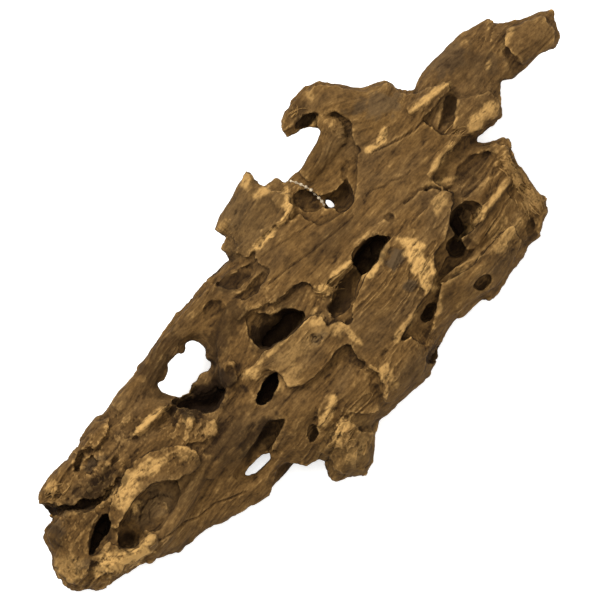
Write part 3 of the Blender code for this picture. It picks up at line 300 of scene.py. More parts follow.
# Hollows with a torn mouth: across, down and depth below the upper face, round the mouth
MOUTHS: dict[str, tuple[Mark, ...]] = {
    "long_window": (
        (247, 316, 5), (257, 312, 8), (270, 314, 16), (281, 309, 34), (293, 308, 46), (307, 315, 48),
        (300, 325, 58), (286, 338, 60), (272, 347, 56), (262, 350, 34), (253, 342, 16), (247, 330, 8),
    ),
    "oval_eye": (
        (278, 371, 62), (281, 379, 66), (278, 389, 70), (271, 399, 70), (263, 405, 66), (257, 403, 62),
        (258, 394, 62), (263, 383, 62), (269, 373, 60),
    ),
    "belly_window": (
        (288, 416, 14), (278, 418, 20), (268, 422, 28), (260, 432, 34), (252, 443, 28), (245, 455, 18),
        (238, 466, 11), (231, 476, 7), (237, 479, 7), (245, 474, 8), (252, 464, 10), (262, 455, 11),
        (273, 449, 9), (276, 440, 16), (281, 429, 20),
    ),
    "strand_gap": (
        (354, 266, 12), (345, 275, 14), (337, 284, 15), (333, 294, 17), (329, 304, 20), (328, 313, 18),
        (331, 319, 14), (341, 315, 16), (350, 308, 17), (355, 297, 19), (358, 285, 20), (362, 275, 18),
    ),
    "strand_eye": (
        (377, 234, 34), (388, 238, 30), (383, 249, 52), (378, 261, 66), (370, 272, 66), (362, 276, 60),
        (355, 268, 58), (352, 261, 60), (355, 253, 64), (361, 246, 64), (368, 240, 50),
    ),
    "arch_tunnel": (
        (169, 402, 14), (178, 396, 8), (186, 389, 9), (192, 381, 9), (199, 373, 8), (207, 365, 6),
        (213, 363, 5), (218, 367, 8), (219, 376, 14), (222, 385, 24), (228, 389, 44), (225, 398, 58),
        (219, 407, 62), (211, 413, 62), (200, 413, 60), (188, 412, 56), (177, 408, 40),
    ),
    "rail_eye": (
        (459, 206, 34), (466, 201, 18), (474, 202, 11), (481, 207, 8), (484, 214, 8), (478, 224, 14),
        (470, 232, 28), (462, 239, 44), (455, 237, 52), (451, 228, 54), (449, 217, 46), (454, 210, 42),
    ),
    "rail_pocket": (
        (447, 241, 44), (455, 235, 52), (463, 241, 40), (466, 248, 24), (462, 256, 18), (452, 258, 20),
        (446, 250, 34),
    ),
    "outer_eye": (
        (423, 324, 26), (419, 318, 20), (424, 310, 34), (427, 304, 34), (434, 302, 18), (437, 308, 12),
        (432, 317, 22),
    ),
    "outer_pit": ((473, 286, 3), (479, 277, 8), (488, 274, 8), (491, 281, 4), (485, 289, 4), (478, 290, 4)),
    "edge_gash": (
        (443, 340, 40), (436, 344, 36), (430, 352, 34), (425, 363, 30), (431, 366, 34), (440, 356, 40),
    ),
    "crown_pit": (
        (445, 98, 8), (450, 92, 6), (457, 102, 7), (455, 120, 9), (447, 124, 9), (438, 130, 6), (441, 116, 10),
    ),
    "arm_cave_left": (
        (291, 197, 10), (300, 190, 14), (312, 192, 18), (322, 198, 24), (322, 207, 22), (313, 212, 18),
        (303, 209, 14), (295, 205, 10),
    ),
    "arm_cave_right": (
        (322, 197, 24), (336, 190, 18), (348, 178, 14), (354, 192, 22), (353, 203, 26), (346, 210, 20),
        (338, 213, 16), (334, 207, 24), (325, 208, 26),
    ),
    "hook_cave": (
        (292, 128, 6), (297, 121, 12), (304, 116, 16), (313, 113, 16), (319, 117, 14), (313, 123, 12),
        (304, 128, 8),
    ),
    "arm_crease": ((346, 158, 5), (350, 160, 8), (348, 172, 9), (343, 180, 8), (339, 180, 5), (342, 168, 8)),
    "scoop_left": (
        (214, 284, 3), (226, 276, 6), (240, 270, 6), (252, 266, 3), (250, 276, 11), (240, 287, 13),
        (228, 290, 8),
    ),
    "scoop_right": (
        (230, 297, 3), (242, 292, 5), (252, 281, 6), (264, 270, 3), (269, 276, 6), (258, 292, 12),
        (244, 301, 10),
    ),
    "throat": (
        (91, 557, 40), (89, 545, 50), (92, 531, 56), (98, 520, 52), (107, 513, 40), (111, 523, 46),
        (109, 532, 54), (102, 542, 56), (96, 550, 48),
    ),
    "jaw_cleft": (
        (34, 507, 10), (46, 503, 16), (58, 506, 26), (70, 505, 30), (80, 500, 30), (92, 500, 26),
        (104, 493, 20), (112, 486, 12), (112, 493, 14), (102, 503, 22), (90, 508, 28), (78, 511, 32),
        (66, 511, 30), (57, 517, 30), (46, 515, 18), (36, 516, 12),
    ),
    "jaw_pit_left": ((71, 468, 9), (76, 458, 14), (81, 450, 8), (84, 458, 14), (80, 470, 15), (75, 474, 10)),
    "jaw_basin": ((84, 461, 7), (92, 455, 6), (101, 459, 8), (100, 470, 8), (90, 476, 5)),
    "jaw_pit_right": ((108, 463, 7), (119, 453, 5), (118, 463, 11), (112, 468, 10)),
    "splinter_groove": (
        (150, 430, 4), (160, 417, 10), (172, 406, 14), (178, 411, 14), (170, 424, 8), (158, 432, 4),
    ),
    "knot_bowl": (
        (117, 541, 20), (120, 525, 20), (126, 512, 20), (134, 499, 19), (148, 487, 17), (165, 480, 14),
        (176, 480, 10), (181, 492, 7), (177, 505, 5), (169, 517, 6), (161, 530, 10), (150, 532, 17),
        (142, 542, 21), (132, 548, 26), (121, 547, 25),
    ),
    "end_valley": (
        (452, 186, 2), (458, 168, 4), (470, 156, 6), (488, 150, 6), (500, 156, 4), (492, 172, 6), (478, 188, 8),
        (466, 198, 8), (456, 196, 6),
    ),
    "end_crease": ((486, 177, 5), (492, 169, 7), (503, 163, 6), (504, 167, 7), (494, 177, 7)),
    "end_ear_groove": ((531, 216, 6), (535, 217, 8), (534, 232, 10), (530, 242, 8), (527, 230, 6)),
    "rail_valley": (
        (478, 250, 4), (470, 258, 6), (452, 268, 10), (440, 280, 10), (434, 296, 10), (436, 282, 8),
        (446, 258, 10), (466, 250, 8),
    ),
    "crown_step": (
        (501, 44, 1), (506, 46, 3), (514, 56, 4), (522, 64, 6), (524, 73, 5), (513, 79, 3), (507, 64, 1),
    ),
    "heel_pit": ((307, 432, 12), (312, 423, 14), (318, 428, 18), (318, 438, 16), (310, 443, 12)),
}

# Rotted heartwood: across, down, height of the middle, half width, half depth
HEART_TUNNELS: dict[str, tuple[Station, ...]] = {
    "long_heart": (
        (214, 386, 64, 10, 11), (236, 364, 62, 14, 14), (268, 338, 66, 16, 16), (300, 322, 70, 14, 14),
        (340, 300, 72, 12, 13), (368, 258, 72, 13, 15),
    ),
    "end_heart": (
        (372, 250, 72, 12, 13), (420, 236, 64, 12, 13), (458, 222, 54, 8, 9), (500, 198, 54, 9, 9),
        (548, 186, 50, 10, 11),
    ),
    "belly_heart": ((268, 388, 64, 9, 12), (258, 424, 60, 9, 12), (248, 444, 64, 6, 8)),
    "arm_drain": ((330, 203, 110, 6, 3), (330, 204, 70, 6, 3), (332, 205, 20, 9, 6)),
    "flank_drain": ((424, 312, 62, 4, 6), (452, 330, 56, 8, 9), (478, 348, 52, 10, 12)),
    "head_drain": ((100, 534, 40, 8, 10), (84, 556, 36, 9, 10), (58, 600, 30, 12, 14)),
}

# Hollows of the underside: across, down and depth above the lower face, round the mouth
LOWER_MOUTHS: dict[str, tuple[Mark, ...]] = {
    "left_channel": (
        (88, 500, 6), (98, 470, 14), (112, 458, 18), (122, 436, 20), (140, 420, 22), (158, 402, 26),
        (162, 412, 30), (150, 440, 30), (134, 452, 26), (128, 474, 26), (110, 490, 18), (104, 508, 8),
    ),
    "arch_hollow": (
        (206, 334, 8), (222, 312, 18), (240, 306, 14), (252, 290, 24), (278, 276, 22), (296, 284, 30),
        (280, 310, 34), (262, 318, 24), (252, 338, 26), (240, 344, 16), (228, 364, 12), (216, 352, 12),
    ),
    "centre_hollow": (
        (272, 388, 12), (284, 366, 24), (306, 354, 26), (322, 350, 30), (344, 322, 28), (358, 306, 24),
        (374, 312, 24), (372, 334, 32), (356, 344, 28), (344, 370, 38), (326, 372, 30), (312, 392, 28),
        (290, 392, 18),
    ),
    "far_hollow": (
        (384, 336, 10), (388, 306, 18), (404, 292, 24), (408, 272, 24), (432, 256, 24), (452, 252, 26),
        (458, 262, 26), (440, 280, 32), (430, 300, 28), (412, 312, 22), (404, 336, 16), (392, 350, 10),
    ),
    "end_hollow": (
        (470, 206, 10), (484, 190, 20), (506, 172, 26), (518, 180, 26), (508, 194, 22), (492, 202, 22),
        (478, 216, 12),
    ),
    "top_hollow": (
        (322, 274, 8), (332, 252, 18), (346, 246, 16), (354, 226, 24), (376, 206, 26), (390, 212, 24),
        (384, 236, 28), (362, 250, 22), (354, 266, 22), (338, 276, 12),
    ),
    "belly_channel": (
        (168, 506, 6), (182, 484, 16), (200, 478, 14), (216, 462, 20), (230, 458, 22), (232, 476, 22),
        (214, 488, 18), (204, 500, 18), (184, 512, 8),
    ),
    "crown_hollow": (
        (462, 114, 6), (472, 96, 14), (490, 88, 14), (494, 100, 16), (482, 116, 14), (470, 124, 8),
    ),
    "neck_hollow": ((362, 158, 8), (378, 156, 14), (392, 166, 16), (388, 182, 14), (372, 178, 12)),
}

# Grooves along the flanks: across, down, height, half width, half depth
FLANK_GROOVES: dict[str, tuple[Station, ...]] = {
    "right_groove": (
        (394, 414, 54, 10, 10), (420, 384, 58, 16, 11), (442, 346, 52, 17, 11), (464, 318, 58, 13, 10),
        (498, 294, 48, 16, 11), (528, 262, 46, 15, 10), (548, 236, 40, 9, 8),
    ),
    "right_under": (
        (392, 404, 14, 12, 10), (430, 364, 14, 15, 11), (456, 324, 18, 12, 10), (492, 300, 12, 10, 9),
    ),
    "left_groove": (
        (50, 462, 54, 9, 8), (84, 420, 50, 13, 10), (114, 386, 58, 12, 9), (148, 344, 60, 7, 7),
        (188, 292, 44, 15, 11), (220, 264, 40, 15, 12),
    ),
    "left_under": ((196, 268, 14, 12, 11), (232, 236, 20, 16, 14), (262, 226, 26, 14, 12)),
    "head_groove": (
        (52, 596, 30, 13, 10), (108, 592, 24, 15, 11), (160, 564, 28, 13, 10), (214, 532, 34, 8, 7),
    ),
    "jaw_groove": ((26, 500, 60, 8, 8), (48, 520, 54, 9, 10), (34, 545, 50, 8, 9)),
    "end_groove": (
        (516, 132, 62, 10, 9), (534, 164, 66, 13, 10), (556, 190, 60, 14, 11), (560, 220, 56, 10, 9),
    ),
}

# The main forks: saw lines across each limb's root, seen on the plan
FORKS: dict[str, tuple[Point, ...]] = {
    "crown_fork": ((406, 66), (414, 92), (424, 116), (447, 139), (470, 141), (524, 122)),
    "hook_fork": ((401, 66), (401, 92), (389, 120), (353, 148), (350, 176), (338, 204), (304, 202), (284, 168)),
    "shoulder_fork": ((288, 168), (293, 208), (272, 230), (252, 254), (238, 262), (206, 262)),
    "heel_fork": ((306, 480), (318, 446), (330, 424), (356, 416), (400, 430)),
}

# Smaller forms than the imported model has: across, down and rise above the surface there, round the edge
FLAKES: dict[str, tuple[Mark, ...]] = {
    "swirl_lobe": (
        (142, 512, 1), (146, 503, 2), (155, 498, 3), (164, 500, 3), (168, 508, 3), (162, 517, 2), (152, 521, 1),
    ),
    "bowl_knuckle": ((138, 536, 4), (146, 530, 6), (156, 534, 6), (158, 542, 5), (150, 548, 5), (140, 545, 4)),
    "arch_knob": (
        (219, 375, 3), (221, 365, 3), (227, 360, 3), (235, 362, 3), (238, 371, 3), (235, 382, 4), (228, 388, 5),
    ),
    "jaw_lump": ((98, 566, 3), (105, 560, 5), (114, 562, 5), (116, 570, 4), (108, 576, 3), (100, 573, 3)),
    "lip_lump": ((122, 556, 3), (130, 551, 5), (138, 555, 5), (138, 564, 4), (129, 569, 3), (122, 564, 3)),
    "pale_knob": ((179, 418, 3), (184, 411, 6), (193, 412, 6), (197, 419, 5), (191, 426, 4), (183, 425, 3)),
    "strand_tip": ((316, 292, 3), (320, 286, 5), (332, 286, 6), (336, 290, 6), (330, 296, 5), (320, 297, 3)),
    "dome_rim": (
        (358, 368, 3), (370, 366, 5), (380, 372, 6), (388, 384, 6), (388, 398, 5), (382, 402, 3), (380, 388, 2),
        (372, 376, 2),
    ),
    "slab_band": (
        (268, 196, 3), (282, 195, 5), (292, 199, 6), (291, 211, 6), (281, 222, 5), (264, 234, 5), (254, 246, 4),
        (256, 234, 2), (270, 222, 2), (280, 210, 2),
    ),
    "eye_wedge": ((459, 214, 8), (466, 208, 9), (473, 214, 8), (470, 224, 9), (462, 228, 9)),
    "jaw_shelf": ((86, 490, 3), (98, 482, 5), (112, 474, 5), (122, 462, 4), (124, 472, 3), (110, 486, 3),
        (96, 494, 2)),
}

# Dents and small pits: across, down and depth below the surface there, round the edge
DENTS: dict[str, tuple[Mark, ...]] = {
    "plate_dent": ((308, 338, 2), (312, 333, 4), (320, 334, 5), (324, 339, 4), (319, 345, 4), (311, 344, 3)),
    "lump_dent": (
        (380, 262, 1), (384, 250, 2), (392, 246, 3), (402, 247, 2), (408, 256, 2), (404, 268, 2), (394, 272, 3),
        (384, 270, 2),
    ),
    "lump_dent_low": (
        (400, 286, 1), (408, 280, 2), (420, 284, 3), (426, 290, 4), (424, 298, 4), (414, 295, 2), (404, 294, 1),
    ),
    "knot_ring": ((226, 369, 1), (228, 365, 2), (233, 366, 2), (234, 371, 2), (231, 375, 1), (227, 374, 1)),
    "neck_pit_one": ((383, 217, 3), (389, 211, 5), (396, 215, 4), (394, 222, 4), (387, 223, 4)),
    "dome_pit_one": ((378, 353, 2), (384, 346, 5), (390, 352, 4), (385, 360, 3), (380, 359, 3)),
    "sill_recess": (
        (202, 320, 1), (203, 308, 4), (211, 300, 6), (221, 301, 6), (226, 310, 7), (221, 323, 6), (211, 330, 3),
    ),
    "bowl_eye": ((119, 540, 1), (125, 533, 4), (132, 535, 4), (134, 542, 3), (128, 547, 2), (121, 547, 1)),
}

# Cracks and thin splinters: half width, rise, below 0 for a crack, then the line on the plan
CREASES: tuple[tuple[float, float, tuple[Point, ...]], ...] = (
    (1.2, -2.6, ((404, 203), (412, 197), (418, 190), (426, 188))),
    (2.2, -6.0, ((426, 188), (431, 185), (438, 186), (446, 188), (453, 188))),
    (1.0, -2.2, ((372, 152), (386, 146), (400, 139), (414, 130), (424, 121))),
    (0.9, -1.4, ((366, 196), (372, 190), (384, 187), (390, 181), (402, 178), (410, 171))),
    (1.0, -1.8, ((160, 540), (174, 533), (186, 522), (200, 517), (214, 505), (232, 498), (246, 492))),
    (0.9, -1.5, ((486, 236), (492, 226), (500, 216), (504, 206), (514, 194))),
    (0.9, -1.5, ((100, 470), (106, 460), (114, 452), (120, 442))),
    (1.0, -1.5, ((139, 522), (141, 510), (149, 499), (162, 494), (173, 498))),
    (0.9, -1.2, ((149, 519), (149, 509), (156, 503), (165, 505))),
    (1.2, -1.7, ((268, 284), (288, 268), (312, 251), (334, 232), (352, 216))),
    (1.0, -1.3, ((246, 268), (272, 248), (300, 231), (322, 216))),
    (1.6, 2.5, ((350, 262), (340, 272), (328, 284), (318, 292))),
    (1.5, 2.0, ((456, 243), (474, 222), (492, 202), (509, 181))),
    (1.5, 2.0, ((441, 282), (456, 268), (480, 256))),
    (1.5, 2.0, ((410, 112), (428, 100), (448, 84))),
    (1.4, 1.8, ((262, 196), (276, 192), (290, 197))),
)

# Crumbled ground: across, down, reach and strength
CRUMBLED: tuple[Spot, ...] = (
    (190, 430, 30, 1.2), (102, 480, 32, 1.4), (58, 500, 22, 1.2), (124, 432, 24, 1.1), (112, 568, 22, 1.0),
    (140, 468, 24, 0.7), (84, 452, 20, 1.2), (344, 440, 24, 0.8), (264, 302, 24, 0.5), (322, 292, 14, 0.7),
    (384, 374, 18, 0.8), (508, 246, 20, 0.6), (172, 456, 20, 0.9), (428, 346, 18, 0.7), (430, 96, 14, 0.6),
    (486, 118, 18, 0.6), (288, 192, 12, 0.5), (226, 234, 16, 0.7), (532, 214, 16, 0.6), (440, 186, 12, 0.6),
    (244, 376, 12, 0.7), (192, 402, 12, 0.9), (74, 574, 20, 0.8), (296, 112, 14, 0.6), (334, 126, 12, 0.5),
    (360, 366, 14, 0.6), (72, 534, 22, 0.9),
)

# Knots and holes that the grain flows round: across, down, radius
GRAIN_KNOTS: tuple[Mark, ...] = (
    (185, 370, 27), (150, 510, 30), (268, 388, 17), (276, 330, 22), (370, 255, 19), (343, 293, 13),
    (465, 220, 17), (429, 312, 8), (482, 283, 7), (264, 440, 16), (229, 370, 9), (100, 535, 12), (449, 110, 10),
    (326, 202, 18), (238, 282, 16), (196, 428, 12), (316, 339, 7), (455, 247, 10),
)

# Limbs whose grain runs another way: across, down, reach, angle of the grain in degrees
GRAIN_TURNS: tuple[Spot, ...] = (
    (350, 108, 34, 8), (296, 108, 18, 55), (318, 160, 22, 62), (250, 208, 26, 62), (348, 452, 22, 66),
    (522, 178, 18, -16), (470, 90, 34, 40), (535, 38, 24, 32), (66, 560, 20, 62),
)

# Broken places with loose fibres: across, down, scatter, direction in degrees and number
FRAYED: tuple[tuple[float, float, float, float, int], ...] = (
    (514, 172, 5, -46, 44), (528, 195, 5, -54, 48), (507, 160, 4, -40, 18), (290, 118, 3, 48, 6),
    (50, 500, 4, 40, 8), (452, 140, 5, 52, 10), (350, 448, 8, 60, 8), (330, 288, 3, 20, 5),
)

# Small knobs in a row: across, down and radius
KNOBS: tuple[Mark, ...] = (
    (291, 181, 1.3), (296, 182.5, 1.6), (301, 184.5, 1.8), (306, 187, 1.9), (311, 190, 1.9), (315, 193.5, 2.0),
    (319, 197.5, 2.1), (322, 201.5, 1.9), (324, 205, 1.5),
)


class Face(Enum):
    """The two broad faces of the wood."""

    UPPER = 0
    LOWER = 1


class Tone(Enum):
    """The tones on the wood, by the attribute that holds each: pale wear, grey weathering, and dark patches
    that are partly dark wood and mostly painted shade.
    """

    PALE = "pale"
    GREY = "grey"
    DARK = "dark"


# Worn and stained patches by tone, with dark patches that are mostly painted shade: across, down, reach along
# and across the grain, turn in degrees, strength
STAINS_AND_SHADE: dict[Tone, tuple[tuple[float, float, float, float, float, float], ...]] = {
    Tone.PALE: (
        (122, 498, 10, 20, 62, 1.0), (128, 484, 14, 12, 60, 1.0), (149, 467, 22, 8, 30, 0.85),
        (186, 456, 14, 5, 5, 0.3), (112, 563, 22, 11, 20, 1.3), (132, 557, 24, 11, 34, 1.5),
        (150, 539, 8, 6, 40, 0.9), (150, 420, 25, 5, 40, 1.0), (188, 418, 9, 6, 40, 0.9),
        (210, 431, 9, 6, 40, 0.5), (50, 488, 7, 5, 50, 0.7), (70, 566, 18, 13, 50, 0.4),
        (318, 321, 11, 6, 40, 0.8), (300, 345, 36, 12, 44, 0.25), (286, 338, 44, 3, 44, 0.8),
        (352, 334, 4, 10, 40, 0.7), (250, 374, 10, 6, 30, 0.8), (290, 376, 18, 8, 48, 0.35),
        (340, 328, 10, 6, 48, 0.6), (338, 274, 26, 3.5, 42, 0.9), (326, 290, 9, 4, 5, 0.9),
        (440, 202, 12, 9, 60, 0.5), (419, 262, 27, 12, -66, 1.3), (426, 284, 9, 6, -70, 1.0),
        (406, 243, 10, 7, 20, 1.1), (372, 268, 14, 6, 50, 1.3), (406, 325, 20, 4, 54, 0.6),
        (380, 252, 12, 4, 54, 0.9), (386, 374, 8, 15, 30, 0.6), (328, 412, 20, 6, 66, 1.1),
        (342, 428, 18, 7, 62, 1.1), (358, 450, 16, 8, 70, 0.35), (480, 214, 38, 5, 50, 0.8),
        (495, 231, 15, 7, 50, 0.5), (462, 268, 26, 4, 42, 0.45), (510, 234, 22, 7, 50, 0.5),
        (444, 156, 26, 4, 56, 0.7), (440, 181, 17, 2.4, 10, 0.7), (429, 97, 24, 4, 36, 0.8),
        (488, 66, 6, 4, 40, 0.6), (482, 117, 24, 8, 42, 0.85), (506, 42, 18, 4, 66, 0.5),
        (381, 138, 13, 4.5, 56, 1.1), (371, 149, 8, 4, 24, 0.9), (310, 96, 4, 9, 30, 0.35),
        (310, 120, 14, 3, 20, 0.5), (288, 206, 16, 6, 100, 1.1), (266, 238, 28, 4.5, 46, 1.3),
        (262, 193, 10, 5, 30, 0.8), (246, 180, 8, 5, 80, 0.7), (222, 226, 8, 6, 40, 0.4),
    ),
    Tone.GREY: (
        (92, 465, 12, 9, 40, 1.0), (395, 257, 14, 11, 50, 1.1), (412, 285, 9, 8, 50, 1.0),
        (84, 566, 10, 7, 30, 0.7), (56, 528, 9, 8, 50, 0.8), (316, 339, 9, 6, 30, 1.0),
        (152, 508, 28, 18, 48, 0.6), (448, 60, 24, 16, 42, 0.6), (492, 66, 16, 10, 30, 0.4),
        (500, 262, 22, 9, 50, 0.4), (234, 214, 18, 12, 50, 0.4), (376, 106, 28, 13, 16, 0.8),
        (330, 312, 22, 6, 48, 0.4),
    ),
    # Dark patches: some dark wood, but mostly painted shade in hollows, caves, clefts and sunk ground
    Tone.DARK: (
        (276, 330, 30, 18, 40, 0.9), (258, 336, 15, 13, 40, 1.2), (268, 388, 18, 11, 60, 1.0),
        (258, 438, 38, 11, 54, 1.0), (343, 293, 30, 11, 62, 0.9), (370, 254, 22, 14, 52, 1.0),
        (456, 230, 12, 8, 60, 0.7), (100, 534, 24, 10, 66, 1.0), (74, 508, 40, 6, 5, 1.0),
        (127, 540, 14, 9, 50, 1.0), (204, 400, 40, 16, 24, 1.3), (222, 384, 26, 15, 45, 1.2),
        (428, 312, 9, 8, 50, 0.9), (482, 282, 6, 5, 50, 0.3), (449, 110, 22, 8, 70, 0.8),
        (306, 198, 18, 8, 20, 0.75), (344, 198, 18, 9, 50, 0.6), (234, 280, 24, 12, 30, 0.9),
        (535, 228, 16, 4, 80, 0.6), (158, 360, 40, 12, 56, 0.85), (186, 326, 34, 12, 52, 0.35),
        (226, 330, 40, 16, 60, 0.85), (226, 440, 40, 13, 52, 0.7), (102, 484, 30, 16, 36, 1.0),
        (54, 536, 16, 9, 110, 0.8), (255, 214, 22, 14, 60, 0.3), (200, 298, 18, 10, 50, 0.35),
        (92, 520, 16, 8, 20, 0.6), (474, 166, 26, 12, 45, 0.6), (330, 240, 44, 14, 42, 0.5),
        (314, 164, 34, 10, 62, 0.35), (296, 110, 14, 9, 70, 0.7), (305, 121, 14, 6, 20, 1.2),
        (466, 62, 28, 14, 42, 0.5), (520, 66, 12, 6, 40, 0.6), (196, 484, 40, 9, 46, 0.45),
        (176, 552, 36, 5, 36, 0.4), (168, 392, 20, 5, 10, 0.6), (456, 250, 20, 8, 60, 0.7),
        (440, 300, 34, 6, 56, 0.45), (286, 302, 32, 10, 38, 0.6), (350, 360, 12, 6, 20, 0.5),
        (230, 252, 20, 8, 60, 0.4), (352, 110, 14, 5, 30, 0.45), (166, 444, 20, 6, 30, 0.5),
    ),
}


def turned(east: np.ndarray, north: np.ndarray, angle: float) -> tuple[np.ndarray, np.ndarray]:
    """Distances ahead of some places and to their left, seen in a direction given in radians."""
    cos, sin = math.cos(angle), math.sin(angle)
    return east * cos + north * sin, north * cos - east * sin


@dataclass(frozen=True)
class Plan:
    """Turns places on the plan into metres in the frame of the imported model, and back.

    Attributes:
        length: Overall length of the wood in metres.
        units: The same length in plan units.
        grain: Angle of the wood's long axis on the plan, in radians.
        middle: Plan place of the frame's origin.
        sky: A height well over the wood, in plan units.
    """

    length: float = 0.380
    units: float = 755
    grain: float = math.radians(48)
    middle: Point = (313.54, 303.67)
    sky: float = 300

    @property
    def unit(self) -> float:
        """Metres in one plan unit."""
        return self.length / self.units

    def to_row(self, places: np.ndarray) -> np.ndarray:
        """Places in metres.

        Args:
            places: Rows of across, down and height in plan units.

        Returns:
            Rows of x, y and z in metres.
        """
        places = np.atleast_2d(np.asarray(places, float))
        east, north = places[:, 0] - self.middle[0], self.middle[1] - places[:, 1]
        return np.column_stack((*turned(east, north, self.grain), places[:, 2])) * self.unit

    def to_plan(self, places: np.ndarray) -> np.ndarray:
        """Plan places.

        Args:
            places: Rows of x, y and z in metres.

        Returns:
            Rows of across, down and height in plan units.
        """
        along, aside, height = np.asarray(places, float).T / self.unit
        cos, sin = math.cos(self.grain), math.sin(self.grain)
        east, north = along * cos - aside * sin, along * sin + aside * cos
        return np.column_stack((self.middle[0] + east, self.middle[1] - north, height))


PLAN = Plan()


class Bench:
    """Small steps of work on objects, with nothing else selected."""

    @staticmethod
    def pick(target: bpy.types.Object) -> None:
        """Selects one object and nothing else."""
        bpy.ops.object.select_all(action="DESELECT")
        target.select_set(True)
        bpy.context.view_layer.objects.active = target

    @staticmethod
    def apply(target: bpy.types.Object, kind: str, **settings: object) -> bpy.types.Object:
        """Adds a modifier and applies it.

        Args:
            target: The object that gets it.
            kind: Blender's name for the modifier's type.
            settings: Values of the modifier.

        Returns:
            The same object.
        """
        Bench.pick(target)
        made = target.modifiers.new(kind.title(), kind)
        for name, value in settings.items():
            setattr(made, name, value)
        bpy.ops.object.modifier_apply(modifier=made.name)
        return target

    @staticmethod
    def tube(name: str, centres: np.ndarray, reach: np.ndarray, sides: int) -> bpy.types.Object:
        """Extrudes a ring from place to place and lays the rings along a line.

        Args:
            name: The tube's name.
            centres: The rings' middles as rows of x, y and z.
            reach: Half the width and half the depth of each ring in metres.
            sides: Sides of a ring.

        Returns:
            The closed tube.
        """
        bpy.ops.object.select_all(action="DESELECT")
        bpy.ops.mesh.primitive_circle_add(vertices=sides, radius=PLAN.unit, fill_type="NGON")
        made = bpy.context.active_object
        made.name = name
        bpy.ops.object.mode_set(mode="EDIT")
        for _ in centres[1:]:
            bpy.ops.mesh.extrude_region_move(TRANSFORM_OT_translate={"value": (0, 0, 10 * PLAN.unit)})
        bpy.ops.object.mode_set(mode="OBJECT")
        along = np.gradient(centres, axis=0)
        along /= np.linalg.norm(along, axis=1, keepdims=True) + 1e-12
        upright = np.abs(along[:, 2]) > 0.9
        sideways = np.cross(along, np.where(upright[:, None], (1.0, 0, 0), (0, 0, 1.0)))
        sideways /= np.linalg.norm(sideways, axis=1, keepdims=True)
        upwards = np.cross(sideways, along)
        turns = np.arange(sides) * math.tau / sides
        rings = centres[:, None, :] + sideways[:, None, :] * (reach[:, :1] * np.cos(turns))[..., None]
        rings = rings + upwards[:, None, :] * (reach[:, 1:] * np.sin(turns))[..., None]
        Bench.place(made.data, rings.reshape(-1, 3))
        return turned_out(made)

    @staticmethod
    def join(name: str, shapes: list[bpy.types.Object]) -> bpy.types.Object:
        """One object from several.

        Args:
            name: The joined object's name.
            shapes: The objects to join.

        Returns:
            The joined object.
        """
        bpy.ops.object.select_all(action="DESELECT")
        for shape in shapes:
            shape.select_set(True)
        bpy.context.view_layer.objects.active = shapes[0]
        if len(shapes) > 1:
            bpy.ops.object.join()
        shapes[0].name = name
        return shapes[0]

    @staticmethod
    def parted(target: bpy.types.Object, kind: str) -> list[bpy.types.Object]:
        """Several objects from one.

        Args:
            target: The object to part.
            kind: LOOSE for its shells, or MATERIAL for its materials.

        Returns:
            The parts.
        """
        Bench.pick(target)
        bpy.ops.object.mode_set(mode="EDIT")
        bpy.ops.mesh.select_all(action="SELECT")
        bpy.ops.mesh.separate(type=kind)
        bpy.ops.object.mode_set(mode="OBJECT")
        return list(bpy.context.selected_objects)

    @staticmethod
    def rows(elements: bpy.types.bpy_prop_collection, name: str) -> np.ndarray:
        """A vector that each of a mesh's elements holds, as rows of three."""
        flat = np.empty(len(elements) * 3, np.float32)
        elements.foreach_get(name, flat)
        return flat.reshape(-1, 3)

    @staticmethod
    def places(mesh: bpy.types.Mesh) -> np.ndarray:
        """The vertices' places as rows of x, y and z."""
        return Bench.rows(mesh.vertices, "co").astype(float)

    @staticmethod
    def place(mesh: bpy.types.Mesh, places: np.ndarray) -> None:
        """Moves the vertices to rows of x, y and z."""
        mesh.vertices.foreach_set("co", np.ascontiguousarray(places, np.float32).ravel())
        mesh.update()

    @staticmethod
    def normals(mesh: bpy.types.Mesh) -> np.ndarray:
        """The vertices' smooth normals."""
        return Bench.rows(mesh.vertex_normals, "vector").astype(float)

    @staticmethod
    def plumb(tree: BVHTree, plan: np.ndarray) -> list[Vector | None]:
        """The places on a surface straight under some plan points, or none where there is no surface."""
        starts = PLAN.to_row(np.column_stack((plan, np.full(len(plan), PLAN.sky))))
        return [tree.ray_cast(Vector(start), Vector((0, 0, -1)))[0] for start in starts]

    @staticmethod
    def record(mesh: bpy.types.Mesh, name: str, values: np.ndarray) -> None:
        """Writes a number, or a vector, to each vertex as a named attribute.

        Args:
            mesh: The mesh that gets it.
            name: The attribute's name.
            values: One number or one row of three for each vertex.
        """
        vector = values.ndim == 2
        layer = mesh.attributes.new(name, "FLOAT_VECTOR" if vector else "FLOAT", "POINT")
        flat = np.ascontiguousarray(values, np.float32).ravel()
        layer.data.foreach_set("vector" if vector else "value", flat)


